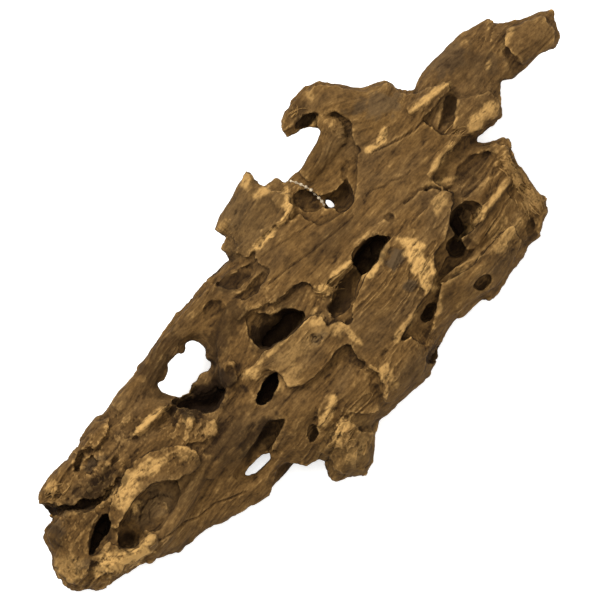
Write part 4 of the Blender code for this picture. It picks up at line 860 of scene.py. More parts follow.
class Noise:
    """Smooth random fields that come out the same each time."""

    @staticmethod
    def _gradients(seed: int) -> np.ndarray:
        """A table of unit vectors."""
        table = np.random.default_rng(seed).normal(size=(4096, 3))
        return table / np.linalg.norm(table, axis=1, keepdims=True)

    @staticmethod
    def _cell_number(cell: np.ndarray, seed: int) -> np.ndarray:
        """A table row for each lattice cell."""
        mixed = cell[:, 0] * 73856093 ^ cell[:, 1] * 19349663 ^ cell[:, 2] * 83492791 ^ (seed * 2654435)
        mixed = (mixed ^ (mixed >> 13)) * 1274126177
        return (mixed ^ (mixed >> 16)) & 4095

    @staticmethod
    def waves(points: np.ndarray, seed: int = 1) -> np.ndarray:
        """Soft noise with features about one unit across.

        Args:
            points: Rows of three coordinates.
            seed: Picks another field.

        Returns:
            Values from about -1 to 1.
        """
        gradients = Noise._gradients(seed)
        cell = np.floor(points).astype(np.int64)
        part = points - cell
        ease = part**3 * (part * (part * 6 - 15) + 10)
        total = np.zeros(len(points))
        for corner in np.ndindex(2, 2, 2):
            step = np.array(corner)
            slope = gradients[Noise._cell_number(cell + step, seed)]
            share = np.where(step, ease, 1 - ease).prod(axis=1)
            total += share * np.einsum("ij,ij->i", slope, part - step)
        return total * 1.5

    @staticmethod
    def layered(points: np.ndarray, seed: int, layers: int = 3) -> np.ndarray:
        """Noise with finer noise on it, each layer at half the size and half the strength."""
        total, size, strength = np.zeros(len(points)), 1.0, 1.0
        for layer in range(layers):
            total += strength * Noise.waves(points * size, seed + layer * 17)
            size, strength = size * 2.03, strength * 0.5
        return total


def soft_step(values: np.ndarray, low: float, high: float) -> np.ndarray:
    """Values eased from 0 at low to 1 at high."""
    share = np.clip((values - low) / (high - low), 0, 1)
    return share * share * (3 - 2 * share)


class TornOutline:
    """The torn edges of the wood on the plan, and the heights of its two broad faces.

    Attributes:
        loops: The outline and the windows through the wood.
        edge_reach: How far in from an edge the faces round off, in plan units.
        edge_share: Share of the thickness that is left at an edge.
        spot_spread: How far a spot height counts, in plan units.
        step: Distance between the points of a torn edge, in plan units.
    """

    loops: list[tuple[Point, ...]] = [OUTLINE, *WINDOWS.values()]
    edge_reach: float = 36
    edge_share: float = 0.24
    spot_spread: float = 30
    step: float = 2.6

    @staticmethod
    def distance(points: np.ndarray, loops: list, closed: bool = True) -> np.ndarray:
        """Distance of each plan point to the nearest side of some loops, or of some open lines."""
        nearest = np.full(len(points), np.inf)
        for loop in loops:
            starts = np.array([mark[:2] for mark in loop], float)
            sides = np.roll(starts, -1, axis=0) - starts
            for start, side in zip(starts, sides if closed else sides[:-1]):
                share = np.clip((points - start) @ side / (side @ side), 0, 1)
                gap = np.linalg.norm(points - start - share[:, None] * side, axis=1)
                nearest = np.minimum(nearest, gap)
        return nearest

    @staticmethod
    def inside(points: np.ndarray, loops: list) -> np.ndarray:
        """True for each plan point that an odd number of the loops hold."""
        held = np.zeros(len(points), bool)
        for loop in loops:
            starts = np.array([mark[:2] for mark in loop], float)
            for (x0, y0), (x1, y1) in zip(starts, np.roll(starts, -1, axis=0)):
                spans = (y0 > points[:, 1]) != (y1 > points[:, 1])
                slope = (x1 - x0) / (y1 - y0) if y1 != y0 else 0.0
                held ^= spans & (points[:, 0] < x0 + (points[:, 1] - y0) * slope)
        return held

    @classmethod
    def torn(cls, loop: tuple) -> list:
        """A closed loop with ragged sides.

        Args:
            loop: Plan points, each with any further values that it carries.

        Returns:
            The same loop with a point every few units, moved in and out.
        """
        rows = np.array(loop, float)
        filled = []
        for start, end in zip(rows, np.roll(rows, -1, axis=0)):
            steps = max(1, round(float(np.linalg.norm(end[:2] - start[:2])) / cls.step))
            filled += [start + (end - start) * k / steps for k in range(steps)]
        filled = np.array(filled)
        side = np.roll(filled, -1, axis=0)[:, :2] - np.roll(filled, 1, axis=0)[:, :2]
        side /= np.linalg.norm(side, axis=1, keepdims=True) + 1e-9
        spots = np.column_stack((filled[:, :2], np.full(len(filled), 7.3)))
        across = np.abs(side @ (math.sin(PLAN.grain), math.cos(PLAN.grain)))
        teeth = 2.6 * Noise.waves(spots / 8.5, 15) + 2.2 * Noise.waves(spots / 3.4, 16)
        shift = (0.25 + 0.75 * across) * teeth
        filled[:, :2] += np.column_stack((side[:, 1], -side[:, 0])) * shift[:, None]
        return [tuple(row) for row in filled]

    @classmethod
    def heights(cls, points: np.ndarray) -> np.ndarray:
        """Heights of the upper and the lower face at plan points.

        Args:
            points: Rows of across and down.

        Returns:
            A row for the upper face and a row for the lower face.
        """
        points = np.asarray(points, float)
        spots = np.array(SPOTS, float)
        gaps = np.linalg.norm(points[:, None, :] - spots[None, :, :2], axis=2)
        weights = np.exp(-0.5 * (gaps / cls.spot_spread) ** 2) + 1e-9
        levels = weights @ spots[:, 2:] / weights.sum(axis=1, keepdims=True)
        inward = np.clip(cls.distance(points, cls.loops) / cls.edge_reach, 0, 1)
        rounding = cls.edge_share + (1 - cls.edge_share) * np.sqrt(1 - (1 - inward) ** 2)
        half = (levels[:, 0] - levels[:, 1]) / 2 * rounding
        return np.stack((levels.mean(axis=1) + half, levels.mean(axis=1) - half))


@dataclass
class Strand:
    """A round strand of wood, or a round tunnel, on a smooth curve through its stations.

    Attributes:
        name: The strand's name.
        stations: Rows of across, down, height, half width and half depth.
        sides: Sides of its round section.
        steps: Rings for each station.
    """

    name: str
    stations: list[Station]
    sides: int = 12
    steps: int = 3

    def curve(self) -> np.ndarray:
        """The stations with more between them."""
        rows = np.array(self.stations, float)
        padded = np.vstack([2 * rows[0] - rows[1], rows, 2 * rows[-1] - rows[-2]])
        filled = []
        for k in range(len(rows) - 1):
            before, start, end, after = padded[k : k + 4]
            for t in np.arange(self.steps) / self.steps:
                bend = (2 * start - 2 * end + end - before + after - start) * t**3
                ease = (2 * before - 5 * start + 4 * end - after) * t**2
                filled.append(start + 0.5 * ((end - before) * t + ease + bend))
        return np.array([*filled, rows[-1]])

    def build(self) -> bpy.types.Object:
        """The closed strand."""
        rows = self.curve()
        reach = np.maximum(rows[:, 3:], 1) * PLAN.unit
        return Bench.tube(self.name, PLAN.to_row(rows[:, :3]), reach, self.sides)


def turned_out(target: bpy.types.Object) -> bpy.types.Object:
    """Turns the faces of a closed shape outwards."""
    Bench.pick(target)
    bpy.ops.object.mode_set(mode="EDIT")
    bpy.ops.mesh.select_all(action="SELECT")
    bpy.ops.mesh.normals_make_consistent(inside=False)
    bpy.ops.object.mode_set(mode="OBJECT")
    return target


@dataclass
class Sheet:
    """A closed slab that fills some loops on the plan between two levels.

    Attributes:
        name: The slab's name.
        loops: Closed loops of plan points.
        levels: Gives the upper and the lower level at plan points.
        spacing: Distance between the points that carry the levels.
    """

    name: str
    loops: list
    levels: object
    spacing: float = 6

    def build(self) -> bpy.types.Object:
        """Fills the loops with triangles, and walls them in between the levels.

        Returns:
            The closed slab.
        """
        rows = np.arange(0, 600, self.spacing * math.sqrt(3) / 2)
        columns = np.arange(0, 600, self.spacing)
        points = np.array([(x + self.spacing / 2 * (k % 2), y) for k, y in enumerate(rows) for x in columns])
        loops = [TornOutline.torn(loop) for loop in self.loops]
        rim = [tuple(mark[:2]) for loop in loops for mark in loop]
        low, high = np.min(rim, axis=0), np.max(rim, axis=0)
        points = points[((points > low) & (points < high)).all(axis=1)]
        clear = TornOutline.distance(points, loops) > self.spacing / 2
        points = points[clear & TornOutline.inside(points, loops)]
        edges, first = [], 0
        for loop in loops:
            edges += [(first + k, first + (k + 1) % len(loop)) for k in range(len(loop))]
            first += len(loop)
        flat = [Vector(point) for point in [*rim, *points]]
        plan, _, triangles, *_ = delaunay_2d_cdt(flat, edges, [], 0, 1e-4)
        plan, triangles = np.array([tuple(point) for point in plan]), np.array(triangles)
        triangles = triangles[TornOutline.inside(plan[triangles].mean(axis=1), loops)]
        upper, lower = self.levels(plan)
        work = bmesh.new()
        top = [work.verts.new(place) for place in PLAN.to_row(np.column_stack((plan, upper)))]
        base = [work.verts.new(place) for place in PLAN.to_row(np.column_stack((plan, lower)))]
        sides = set()
        for corners in triangles:
            work.faces.new([top[k] for k in corners])
            work.faces.new([base[k] for k in reversed(corners)])
            for start, end in zip(corners, np.roll(corners, -1)):
                if (end, start) in sides:
                    sides.remove((end, start))
                else:
                    sides.add((start, end))
        for start, end in sorted(sides):
            work.faces.new((top[end], top[start], base[start], base[end]))
        bmesh.ops.delete(work, geom=[v for v in work.verts if not v.link_faces], context="VERTS")
        bmesh.ops.recalc_face_normals(work, faces=work.faces)
        mesh = bpy.data.meshes.new(self.name)
        work.to_mesh(mesh)
        work.free()
        made = bpy.data.objects.new(self.name, mesh)
        bpy.context.scene.collection.objects.link(made)
        return made


def spread(points: np.ndarray, marks: tuple[Mark, ...]) -> np.ndarray:
    """The third value of some marks, carried to any plan points by nearness."""
    known = np.array(marks, float)
    gaps = np.linalg.norm(points[:, None, :] - known[None, :, :2], axis=2)
    weights = 1 / (gaps + 0.5) ** 2.5
    return weights @ known[:, 2] / weights.sum(axis=1)


def wall(points: np.ndarray, marks: tuple[Mark, ...], reach: float) -> np.ndarray:
    """How far down its sloping, fluted wall each plan point of a hollow is, from 0 at the rim to 1."""
    flutes = 0.6 + 0.5 * Noise.waves(np.column_stack((points, np.full(len(points), 2.1))) / 7, 27)
    share = np.clip(TornOutline.distance(points, [marks]) / (reach * flutes), 0, 1)
    return share * (2 - share)


@dataclass
class WoodMass:
    """The whole piece of wood in one fine skin, before it is weathered.

    Attributes:
        voxel: Size of the skin's faces in metres.
        root: How deep raised ground is rooted, in plan units.
        clear: How far a hollow's cutter stands out of the wood, in plan units.
        brink: Share of a hollow's depth at its very rim.
    """

    voxel: float = 0.00075
    root: float = 18
    clear: float = 40
    brink: float = 0.4

    def raised(self, name: str, marks: tuple[Mark, ...]) -> bpy.types.Object:
        """Raised ground, from inside the wood to its rise above the upper face."""

        def levels(plan: np.ndarray) -> tuple[np.ndarray, np.ndarray]:
            """The raised ground's top and its root."""
            face = TornOutline.heights(plan)[0]
            return face + spread(plan, marks), face - self.root

        return Sheet(name, [marks], levels).build()

    def mouth(self, name: str, marks: tuple[Mark, ...], face: Face) -> bpy.types.Object:
        """The cutter of a hollow, from clear outside a face to its depth inside."""
        sign = -1 if face is Face.UPPER else 1

        def levels(plan: np.ndarray) -> tuple[np.ndarray, np.ndarray]:
            """The cutter's upper and lower level."""
            height = TornOutline.heights(plan)[face.value]
            share = self.brink + (1 - self.brink) * wall(plan, marks, 5)
            depth = spread(plan, marks) * share
            outside, floor = height - sign * self.clear, height + sign * depth
            return (floor, outside) if sign > 0 else (outside, floor)

        return Sheet(name, [marks], levels, spacing=4.5).build()

    def on_face(self, table: dict, face: Face) -> list[bpy.types.Object]:
        """Strands whose rise is counted out of a face of the wood."""
        made = []
        for name, stations in table.items():
            level = TornOutline.heights([row[:2] for row in stations])[face.value]
            sign = 1 if face is Face.UPPER else -1
            placed = [(u, v, z + sign * rise, a, b) for (u, v, rise, a, b), z in zip(stations, level)]
            made.append(Strand(name, placed).build())
        return made

    def fuse(self, name: str, shapes: list[bpy.types.Object]) -> bpy.types.Object:
        """One fine skin round shapes that overlap."""
        return Bench.apply(Bench.join(name, shapes), "REMESH", mode="VOXEL", voxel_size=self.voxel)

    def cut(self, mass: bpy.types.Object, cutter: bpy.types.Object) -> bpy.types.Object:
        """The mass with a closed cutter taken out of it."""
        Bench.apply(mass, "BOOLEAN", operation="DIFFERENCE", solver="MANIFOLD", object=cutter)
        bpy.data.objects.remove(cutter)
        return mass

    def build(self) -> bpy.types.Object:
        """Joins the main mass, its torn ground and its strands, and hollows them out.

        Returns:
            The wood in one closed skin.
        """
        web = Sheet("wood_web", TornOutline.loops, TornOutline.heights, spacing=8).build()
        parts = [web, *self.on_face(UPPER_RIDGES, Face.UPPER), *self.on_face(LOWER_RIDGES, Face.LOWER)]
        parts += [self.raised(name, marks) for name, marks in RAISED.items()]
        parts += [Strand(name, list(stations)).build() for name, stations in FLANK_RIDGES.items()]
        mass = self.fuse("wood_mass", parts)
        cutters = [self.mouth(name, marks, Face.UPPER) for name, marks in MOUTHS.items()]
        cutters += [self.mouth(name, marks, Face.LOWER) for name, marks in LOWER_MOUTHS.items()]
        cutters += [Strand(name, list(stations)).build() for name, stations in HEART_TUNNELS.items()]
        cutters += [Strand(name, list(stations)).build() for name, stations in FLANK_GROOVES.items()]
        mass = self.cut(mass, self.fuse("wood_hollows", cutters))
        mass = self.detail(mass)
        mass = self.fuse("wood_mass", [mass])
        Bench.apply(mass, "SMOOTH", factor=0.3, iterations=1)
        return self.whole(mass)

    def detail(self, mass: bpy.types.Object) -> bpy.types.Object:
        """Adds the flakes and cuts the dents, each counted from the surface that it lies on."""
        tree = BVHTree.FromObject(mass, bpy.context.evaluated_depsgraph_get())

        def surface(plan: np.ndarray) -> np.ndarray:
            """Heights of the surface over plan points."""
            found, base = Bench.plumb(tree, plan), TornOutline.heights(plan)[0]
            return np.array([hit.z / PLAN.unit if hit else level for hit, level in zip(found, base)])

        def patch(marks: tuple[Mark, ...], up: bool) -> object:
            """The levels of a flake, or of a dent's cutter."""

            def levels(plan: np.ndarray) -> tuple[np.ndarray, np.ndarray]:
                """Its upper and lower level."""
                level = surface(plan)
                if up:
                    return level + spread(plan, marks), level - 6
                return level + 20, level - spread(plan, marks) * wall(plan, marks, 6)

            return levels

        flakes = [Sheet(name, [marks], patch(marks, True), spacing=4).build() for name, marks in FLAKES.items()]
        dents = [Sheet(name, [marks], patch(marks, False), spacing=3).build() for name, marks in DENTS.items()]
        mass = self.fuse("wood_mass", [mass, *flakes])
        return self.cut(mass, self.fuse("wood_dents", dents))

    @staticmethod
    def whole(mass: bpy.types.Object) -> bpy.types.Object:
        """Keeps the biggest shell and drops the crumbs that float free of it."""
        shells = Bench.parted(mass, "LOOSE")
        shells.sort(key=lambda shell: len(shell.data.vertices))
        for crumb in shells[:-1]:
            bpy.data.objects.remove(crumb)
        return shells[-1]


@dataclass
class Grain:
    """The way the grain runs: along the piece, round its knots and out along its limbs.

    Attributes:
        softness: How softly the grain parts at a knot's middle.
        stretch: How far along the grain a knot bends it, less for more.
    """

    softness: float = 0.16
    stretch: float = 0.4

    def flow(self, plan: np.ndarray, level: np.ndarray) -> np.ndarray:
        """Grain coordinates of some places.

        Args:
            plan: Rows of across, down and height in plan units.
            level: Height of the upper face at each place.

        Returns:
            Rows of the distance along the grain, the distance across it and the depth, in millimetres.
        """
        along, across = turned(plan[:, 0] - PLAN.middle[0], PLAN.middle[1] - plan[:, 1], PLAN.grain)
        straight = along, across
        total, shares = np.column_stack(straight), np.ones(len(plan))
        for u, v, reach, angle in GRAIN_TURNS:
            x, y = plan[:, 0] - u, v - plan[:, 1]
            share = 4 * np.exp(-((x * x + y * y) / (reach * reach)))
            start = turned(u - PLAN.middle[0], PLAN.middle[1] - v, PLAN.grain)
            total += share[:, None] * (np.column_stack(turned(x, y, math.radians(angle))) + start)
            shares += share
        along, across = (total / shares[:, None]).T
        bent = across.copy()
        for u, v, radius in GRAIN_KNOTS:
            ahead, beside = turned(u - PLAN.middle[0], PLAN.middle[1] - v, PLAN.grain)
            dx, dy = straight[0] - ahead, straight[1] - beside
            reach = dx * dx * self.stretch + dy * dy + self.softness * radius * radius
            bent -= 0.7 * dy * radius * radius / reach * np.exp(-reach / (9 * radius * radius))
        scale = PLAN.unit * 1000
        warp = Noise.waves(plan / 46, 3)
        return np.column_stack((along, bent + 5 * warp, 0.5 * (plan[:, 2] - level))) * scale


@dataclass
class Weathering:
    """What years of sun and water have done to the wood: furrows, ledges, flakes, cracks and worn edges.

    Lengths are in millimetres.

    Attributes:
        furrow: Height of the grain's furrows.
        line: Height of the finest grain lines that are shaped.
        lump: Height of the broad lumps.
        bump: Height of the smaller lumps.
        ledge: Height of the torn ledges along the grain.
        torn: Height of the crumbs on torn ground.
        flake: Height of the flakes on crumbled ground.
        crisp: Share of each crest and furrow that is added to it again.
        margin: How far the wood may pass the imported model's box, in metres.
        grain: The way the grain runs.
    """

    furrow: float = 0.30
    line: float = 0.14
    lump: float = 0.8
    bump: float = 0.45
    ledge: float = 0.7
    torn: float = 0.42
    flake: float = 0.8
    crisp: float = 0.28
    margin: Mark = (0.004, 0.003, 0.0018)
    grain: Grain = field(default_factory=Grain)

    def relief(self, plan: np.ndarray, flow: np.ndarray, facing: np.ndarray, ragged: np.ndarray) -> np.ndarray:
        """How far each place moves out of the surface.

        Args:
            plan: Rows of across, down and height in plan units.
            flow: Grain coordinates in millimetres.
            facing: How far each normal points up, from -1 to 1.
            ragged: How torn each place is, from 0 to 1.

        Returns:
            Millimetres outwards.
        """
        lumps = self.lump * Noise.layered(flow / (26, 15, 15), 5, 2)
        bumps = self.bump * Noise.layered(flow / (13, 7, 7), 11, 2)
        furrows = self.furrow * Noise.layered(flow / (40, 4.6, 3.4), 21, 2)
        furrows -= self.furrow * soft_step(-np.abs(Noise.waves(flow / (60, 6.5, 5), 33)), -0.16, 0)
        lines = self.line * Noise.waves(flow / (20, 2.1, 1.7), 44)
        steps = 2.6 * Noise.layered(flow / (52, 12, 12), 61, 2)
        ledges = np.floor(steps) + soft_step(steps - np.floor(steps), 0.44, 0.56) - steps
        ledges *= self.ledge * soft_step(Noise.waves(flow / (70, 30, 30), 65), 0.05, 0.4)
        torn = self.torn * ragged * Noise.layered(flow / (4.2, 2.6, 2.6), 52, 2)
        flakes = 2.0 * Noise.layered(plan / (14, 14, 18), 71, 4)
        flakes = np.floor(flakes) + soft_step(flakes - np.floor(flakes), 0.3, 0.7)
        crumbled = np.zeros(len(plan))
        for u, v, reach, strength in CRUMBLED:
            gap = (plan[:, 0] - u) ** 2 + (plan[:, 1] - v) ** 2
            crumbled = np.maximum(crumbled, strength * np.exp(-gap / reach**2))
        moved = lumps + bumps + furrows + lines + ledges + torn + self.flake * crumbled * flakes
        upper = soft_step(facing, -0.1, 0.3)
        for half_width, rise, line in CREASES:
            gap = TornOutline.distance(plan[:, :2], [line], closed=False) / half_width
            moved += upper * rise * PLAN.unit * 1000 * np.exp(-(gap**2))
        return moved

    @staticmethod
    def rounding(mesh: bpy.types.Mesh, places: np.ndarray, normals: np.ndarray, turns: tuple) -> list:
        """How far each place stands out of the smoothed surface round it, at some sizes.

        Args:
            mesh: The mesh, for its edges.
            places: Rows of x, y and z in metres.
            normals: The places' normals.
            turns: Numbers of smoothing turns, growing.

        Returns:
            One array of millimetres for each number of turns.
        """
        ends = np.empty(len(mesh.edges) * 2, np.int32)
        mesh.edges.foreach_get("vertices", ends)
        ends = ends.reshape(-1, 2)
        starts, stops = np.concatenate((ends[:, 0], ends[:, 1])), np.concatenate((ends[:, 1], ends[:, 0]))
        count = np.bincount(starts, minlength=len(places))[:, None]
        smooth, done, found = places.copy(), 0, []
        for turn in turns:
            for _ in range(turn - done):
                sums = [np.bincount(starts, smooth[stops, k], len(places)) for k in range(3)]
                smooth = 0.5 * smooth + 0.5 * np.stack(sums, axis=1) / count
            done = turn
            found.append(np.einsum("ij,ij->i", places - smooth, normals) * 1000)
        return found

    def stains_and_shade(self, plan: np.ndarray, flow: np.ndarray, facing: np.ndarray) -> dict[Tone, np.ndarray]:
        """How strong each tone is at each place.

        Args:
            plan: Rows of across, down and height in plan units.
            flow: Grain coordinates in millimetres.
            facing: How far each normal points up, from -1 to 1.

        Returns:
            Values from 0 to 1 for each tone.
        """
        ragged = 0.66 * Noise.layered(plan / (10, 10, 20), 81, 4)
        upper = soft_step(facing, -0.2, 0.3)
        found = {tone: np.zeros(len(plan)) for tone in Tone}
        rows = [(tone, *row) for tone in STAINS_AND_SHADE for row in STAINS_AND_SHADE[tone]]
        for tone, u, v, ahead, beside, angle, strength in rows:
            x, y = turned(plan[:, 0] - u, v - plan[:, 1], math.radians(angle))
            share = strength * (1 - soft_step(np.hypot(x / ahead, y / beside) + ragged, 0.55, 1.15))
            found[tone] = np.maximum(found[tone], share * upper)
        under = 1 - upper
        wide = Noise.layered(flow / (58, 22, 22), 91, 3)
        found[Tone.PALE] = np.maximum(found[Tone.PALE], 0.8 * under * soft_step(wide, 0.34, 0.62))
        found[Tone.GREY] = np.maximum(found[Tone.GREY], 0.8 * under * soft_step(-wide, 0.3, 0.6))
        return found

    def apply(self, wood: bpy.types.Object) -> None:
        """Roughens the skin and writes to its vertices the grain, the wear, the patches of each tone, and the
        rounding and sinking from which the shader paints shade.

        Args:
            wood: The wood in one fine skin.
        """
        mesh = wood.data
        places, normals = Bench.places(mesh), Bench.normals(mesh)
        plan = PLAN.to_plan(places)
        level = TornOutline.heights(plan[:, :2])
        flow = self.grain.flow(plan, level[0])
        sunk = np.maximum(np.stack((level[0] - plan[:, 2], plan[:, 2] - level[1])), 0)
        edge = self.rounding(mesh, places, normals, (10,))[0]
        stains_and_shade = self.stains_and_shade(plan, flow, normals[:, 2])
        ragged = np.maximum(0.2 + 0.8 * soft_step(edge, 0.05, 0.5), 0.9 * stains_and_shade[Tone.PALE])
        moved = self.relief(plan, flow, normals[:, 2], ragged)
        upper = soft_step(normals[:, 2], -0.3, 0.3)
        deep = upper * sunk[0] + (1 - upper) * sunk[1]
        calm = 0.35 + 0.65 * soft_step(plan[:, 2], 0.5, 6)
        places = self.bounded(places + normals * (moved * calm / 1000)[:, None])
        Bench.place(mesh, places)
        normals = Bench.normals(mesh)
        crests = self.rounding(mesh, places, normals, (5,))[0]
        places = self.bounded(places + normals * (np.clip(self.crisp * crests, -0.3, 0.3) / 1000)[:, None])
        Bench.place(mesh, places)
        normals = Bench.normals(mesh)
        # Rounding at three sizes; the shader pales crests with it as wear and darkens hollows and creases as
        # painted shade
        fine, middle, broad = self.rounding(mesh, places, normals, (4, 20, 90))
        Bench.record(mesh, "grain", flow)
        Bench.record(mesh, "fine", np.clip(0.5 + fine * 1.6, 0, 1))
        Bench.record(mesh, "middle", np.clip(0.5 + middle * 0.7, 0, 1))
        Bench.record(mesh, "broad", np.clip(0.5 + broad * 0.22, 0, 1))
        # How far each place lies sunk below its face; the shader darkens sunk ground with it as painted shade
        Bench.record(mesh, "deep", soft_step(deep, 9, 40))
        for tone, values in stains_and_shade.items():
            Bench.record(mesh, tone.value, values)

    def bounded(self, places: np.ndarray) -> np.ndarray:
        """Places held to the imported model's box and its margin, and no lower than the floor."""
        low, high, margin = (np.array(row) for row in (*CAD_BOX, self.margin))
        return np.clip(places, low - margin * (1, 1, 0), high + margin)


@dataclass(frozen=True)
class WoodFinish:
    """The bare wood of one part of the piece.

    Attributes:
        name: The finish's name.
        wood: Its usual brown, linear.
        worn: The pale tan where it is rubbed bare.
        silver: The grey of old, sunned ground.
        hollow: The near-black brown that paints shade into hollows, creases and sunk ground, and darkens the
            dark patches.
        relief: Depth of its finest grain in millimetres.
        rough: Its roughness.
    """

    name: str
    wood: tuple[float, float, float] = (0.128, 0.066, 0.019)
    worn: tuple[float, float, float] = (0.560, 0.325, 0.105)
    silver: tuple[float, float, float] = (0.088, 0.055, 0.026)
    hollow: tuple[float, float, float] = (0.014, 0.0065, 0.0022)
    relief: float = 0.30
    rough: float = 0.86


class NodeBench:
    """Small steps of work in a shader node tree."""

    def __init__(self, tree: bpy.types.NodeTree) -> None:
        """Keeps the tree."""
        self.tree = tree

    def node(self, kind: str, **settings: object) -> bpy.types.Node:
        """Adds a node.

        Args:
            kind: Blender's name for the node's type.
            settings: Values of the node.

        Returns:
            The new node.
        """
        made = self.tree.nodes.new(kind)
        for name, value in settings.items():
            setattr(made, name, value)
        return made

    def link(self, start: bpy.types.NodeSocket, end: bpy.types.NodeSocket) -> None:
        """Joins an output to an input."""
        self.tree.links.new(start, end)

    def attribute(self, name: str) -> bpy.types.Node:
        """A node that reads a named attribute of the surface."""
        return self.node("ShaderNodeAttribute", attribute_name=name, attribute_type="GEOMETRY")

    def math(self, kind: str, *terms: object, clamp: bool = False) -> bpy.types.NodeSocket:
        """A sum of numbers and sockets.

        Args:
            kind: The operation, such as MULTIPLY.
            terms: Numbers or sockets.
            clamp: True to keep the result from 0 to 1.

        Returns:
            The result's socket.
        """
        made = self.node("ShaderNodeMath", operation=kind, use_clamp=clamp)
        for socket, term in zip(made.inputs, terms):
            if isinstance(term, (int, float)):
                socket.default_value = term
            else:
                self.link(term, socket)
        return made.outputs[0]

    def mixed(self, share: object, first: object, second: object, kind: str = "MIX") -> bpy.types.NodeSocket:
        """Two colours mixed by a share.

        Args:
            share: Number or socket, 0 for the first colour and 1 for the second.
            first: Colour or socket.
            second: Colour or socket.
            kind: The way to mix, such as MIX or MULTIPLY.

        Returns:
            The mixed colour's socket.
        """
        made = self.node("ShaderNodeMix", data_type="RGBA", blend_type=kind)
        for socket, term in zip((made.inputs[0], made.inputs[6], made.inputs[7]), (share, first, second)):
            if isinstance(term, (int, float)):
                socket.default_value = term
            elif isinstance(term, tuple):
                socket.default_value = (*term, 1.0)[:4]
            else:
                self.link(term, socket)
        return made.outputs[2]

    def noise(
        self, place: bpy.types.NodeSocket, stretch: tuple, detail: float, seed: float
    ) -> bpy.types.NodeSocket:
        """Noise over grain coordinates.

        Args:
            place: Grain coordinates in millimetres.
            stretch: Cycles for each millimetre along, across and down.
            detail: Layers of finer noise.
            seed: Picks another field.

        Returns:
            A value about 0.5.
        """
        scaled = self.node("ShaderNodeVectorMath", operation="MULTIPLY_ADD")
        self.link(place, scaled.inputs[0])
        scaled.inputs[1].default_value = stretch
        scaled.inputs[2].default_value = (seed, seed * 1.7, seed * 0.6)
        made = self.node("ShaderNodeTexNoise", noise_dimensions="3D")
        made.inputs["Scale"].default_value = 1.0
        made.inputs["Detail"].default_value = detail
        made.inputs["Roughness"].default_value = 0.55
        self.link(scaled.outputs[0], made.inputs["Vector"])
        return made.outputs[0]

    def ramp(self, value: bpy.types.NodeSocket, stops: tuple) -> bpy.types.NodeSocket:
        """Greys that follow a value.

        Args:
            value: The value.
            stops: Pairs of a value and its grey.

        Returns:
            The grey's socket.
        """
        made = self.node("ShaderNodeValToRGB")
        band = made.color_ramp
        while len(band.elements) < len(stops):
            band.elements.new(0.5)
        for element, (place, grey) in zip(band.elements, stops):
            element.position = place
            element.color = (grey, grey, grey, 1.0)
        self.link(value, made.inputs[0])
        return made.outputs[0]


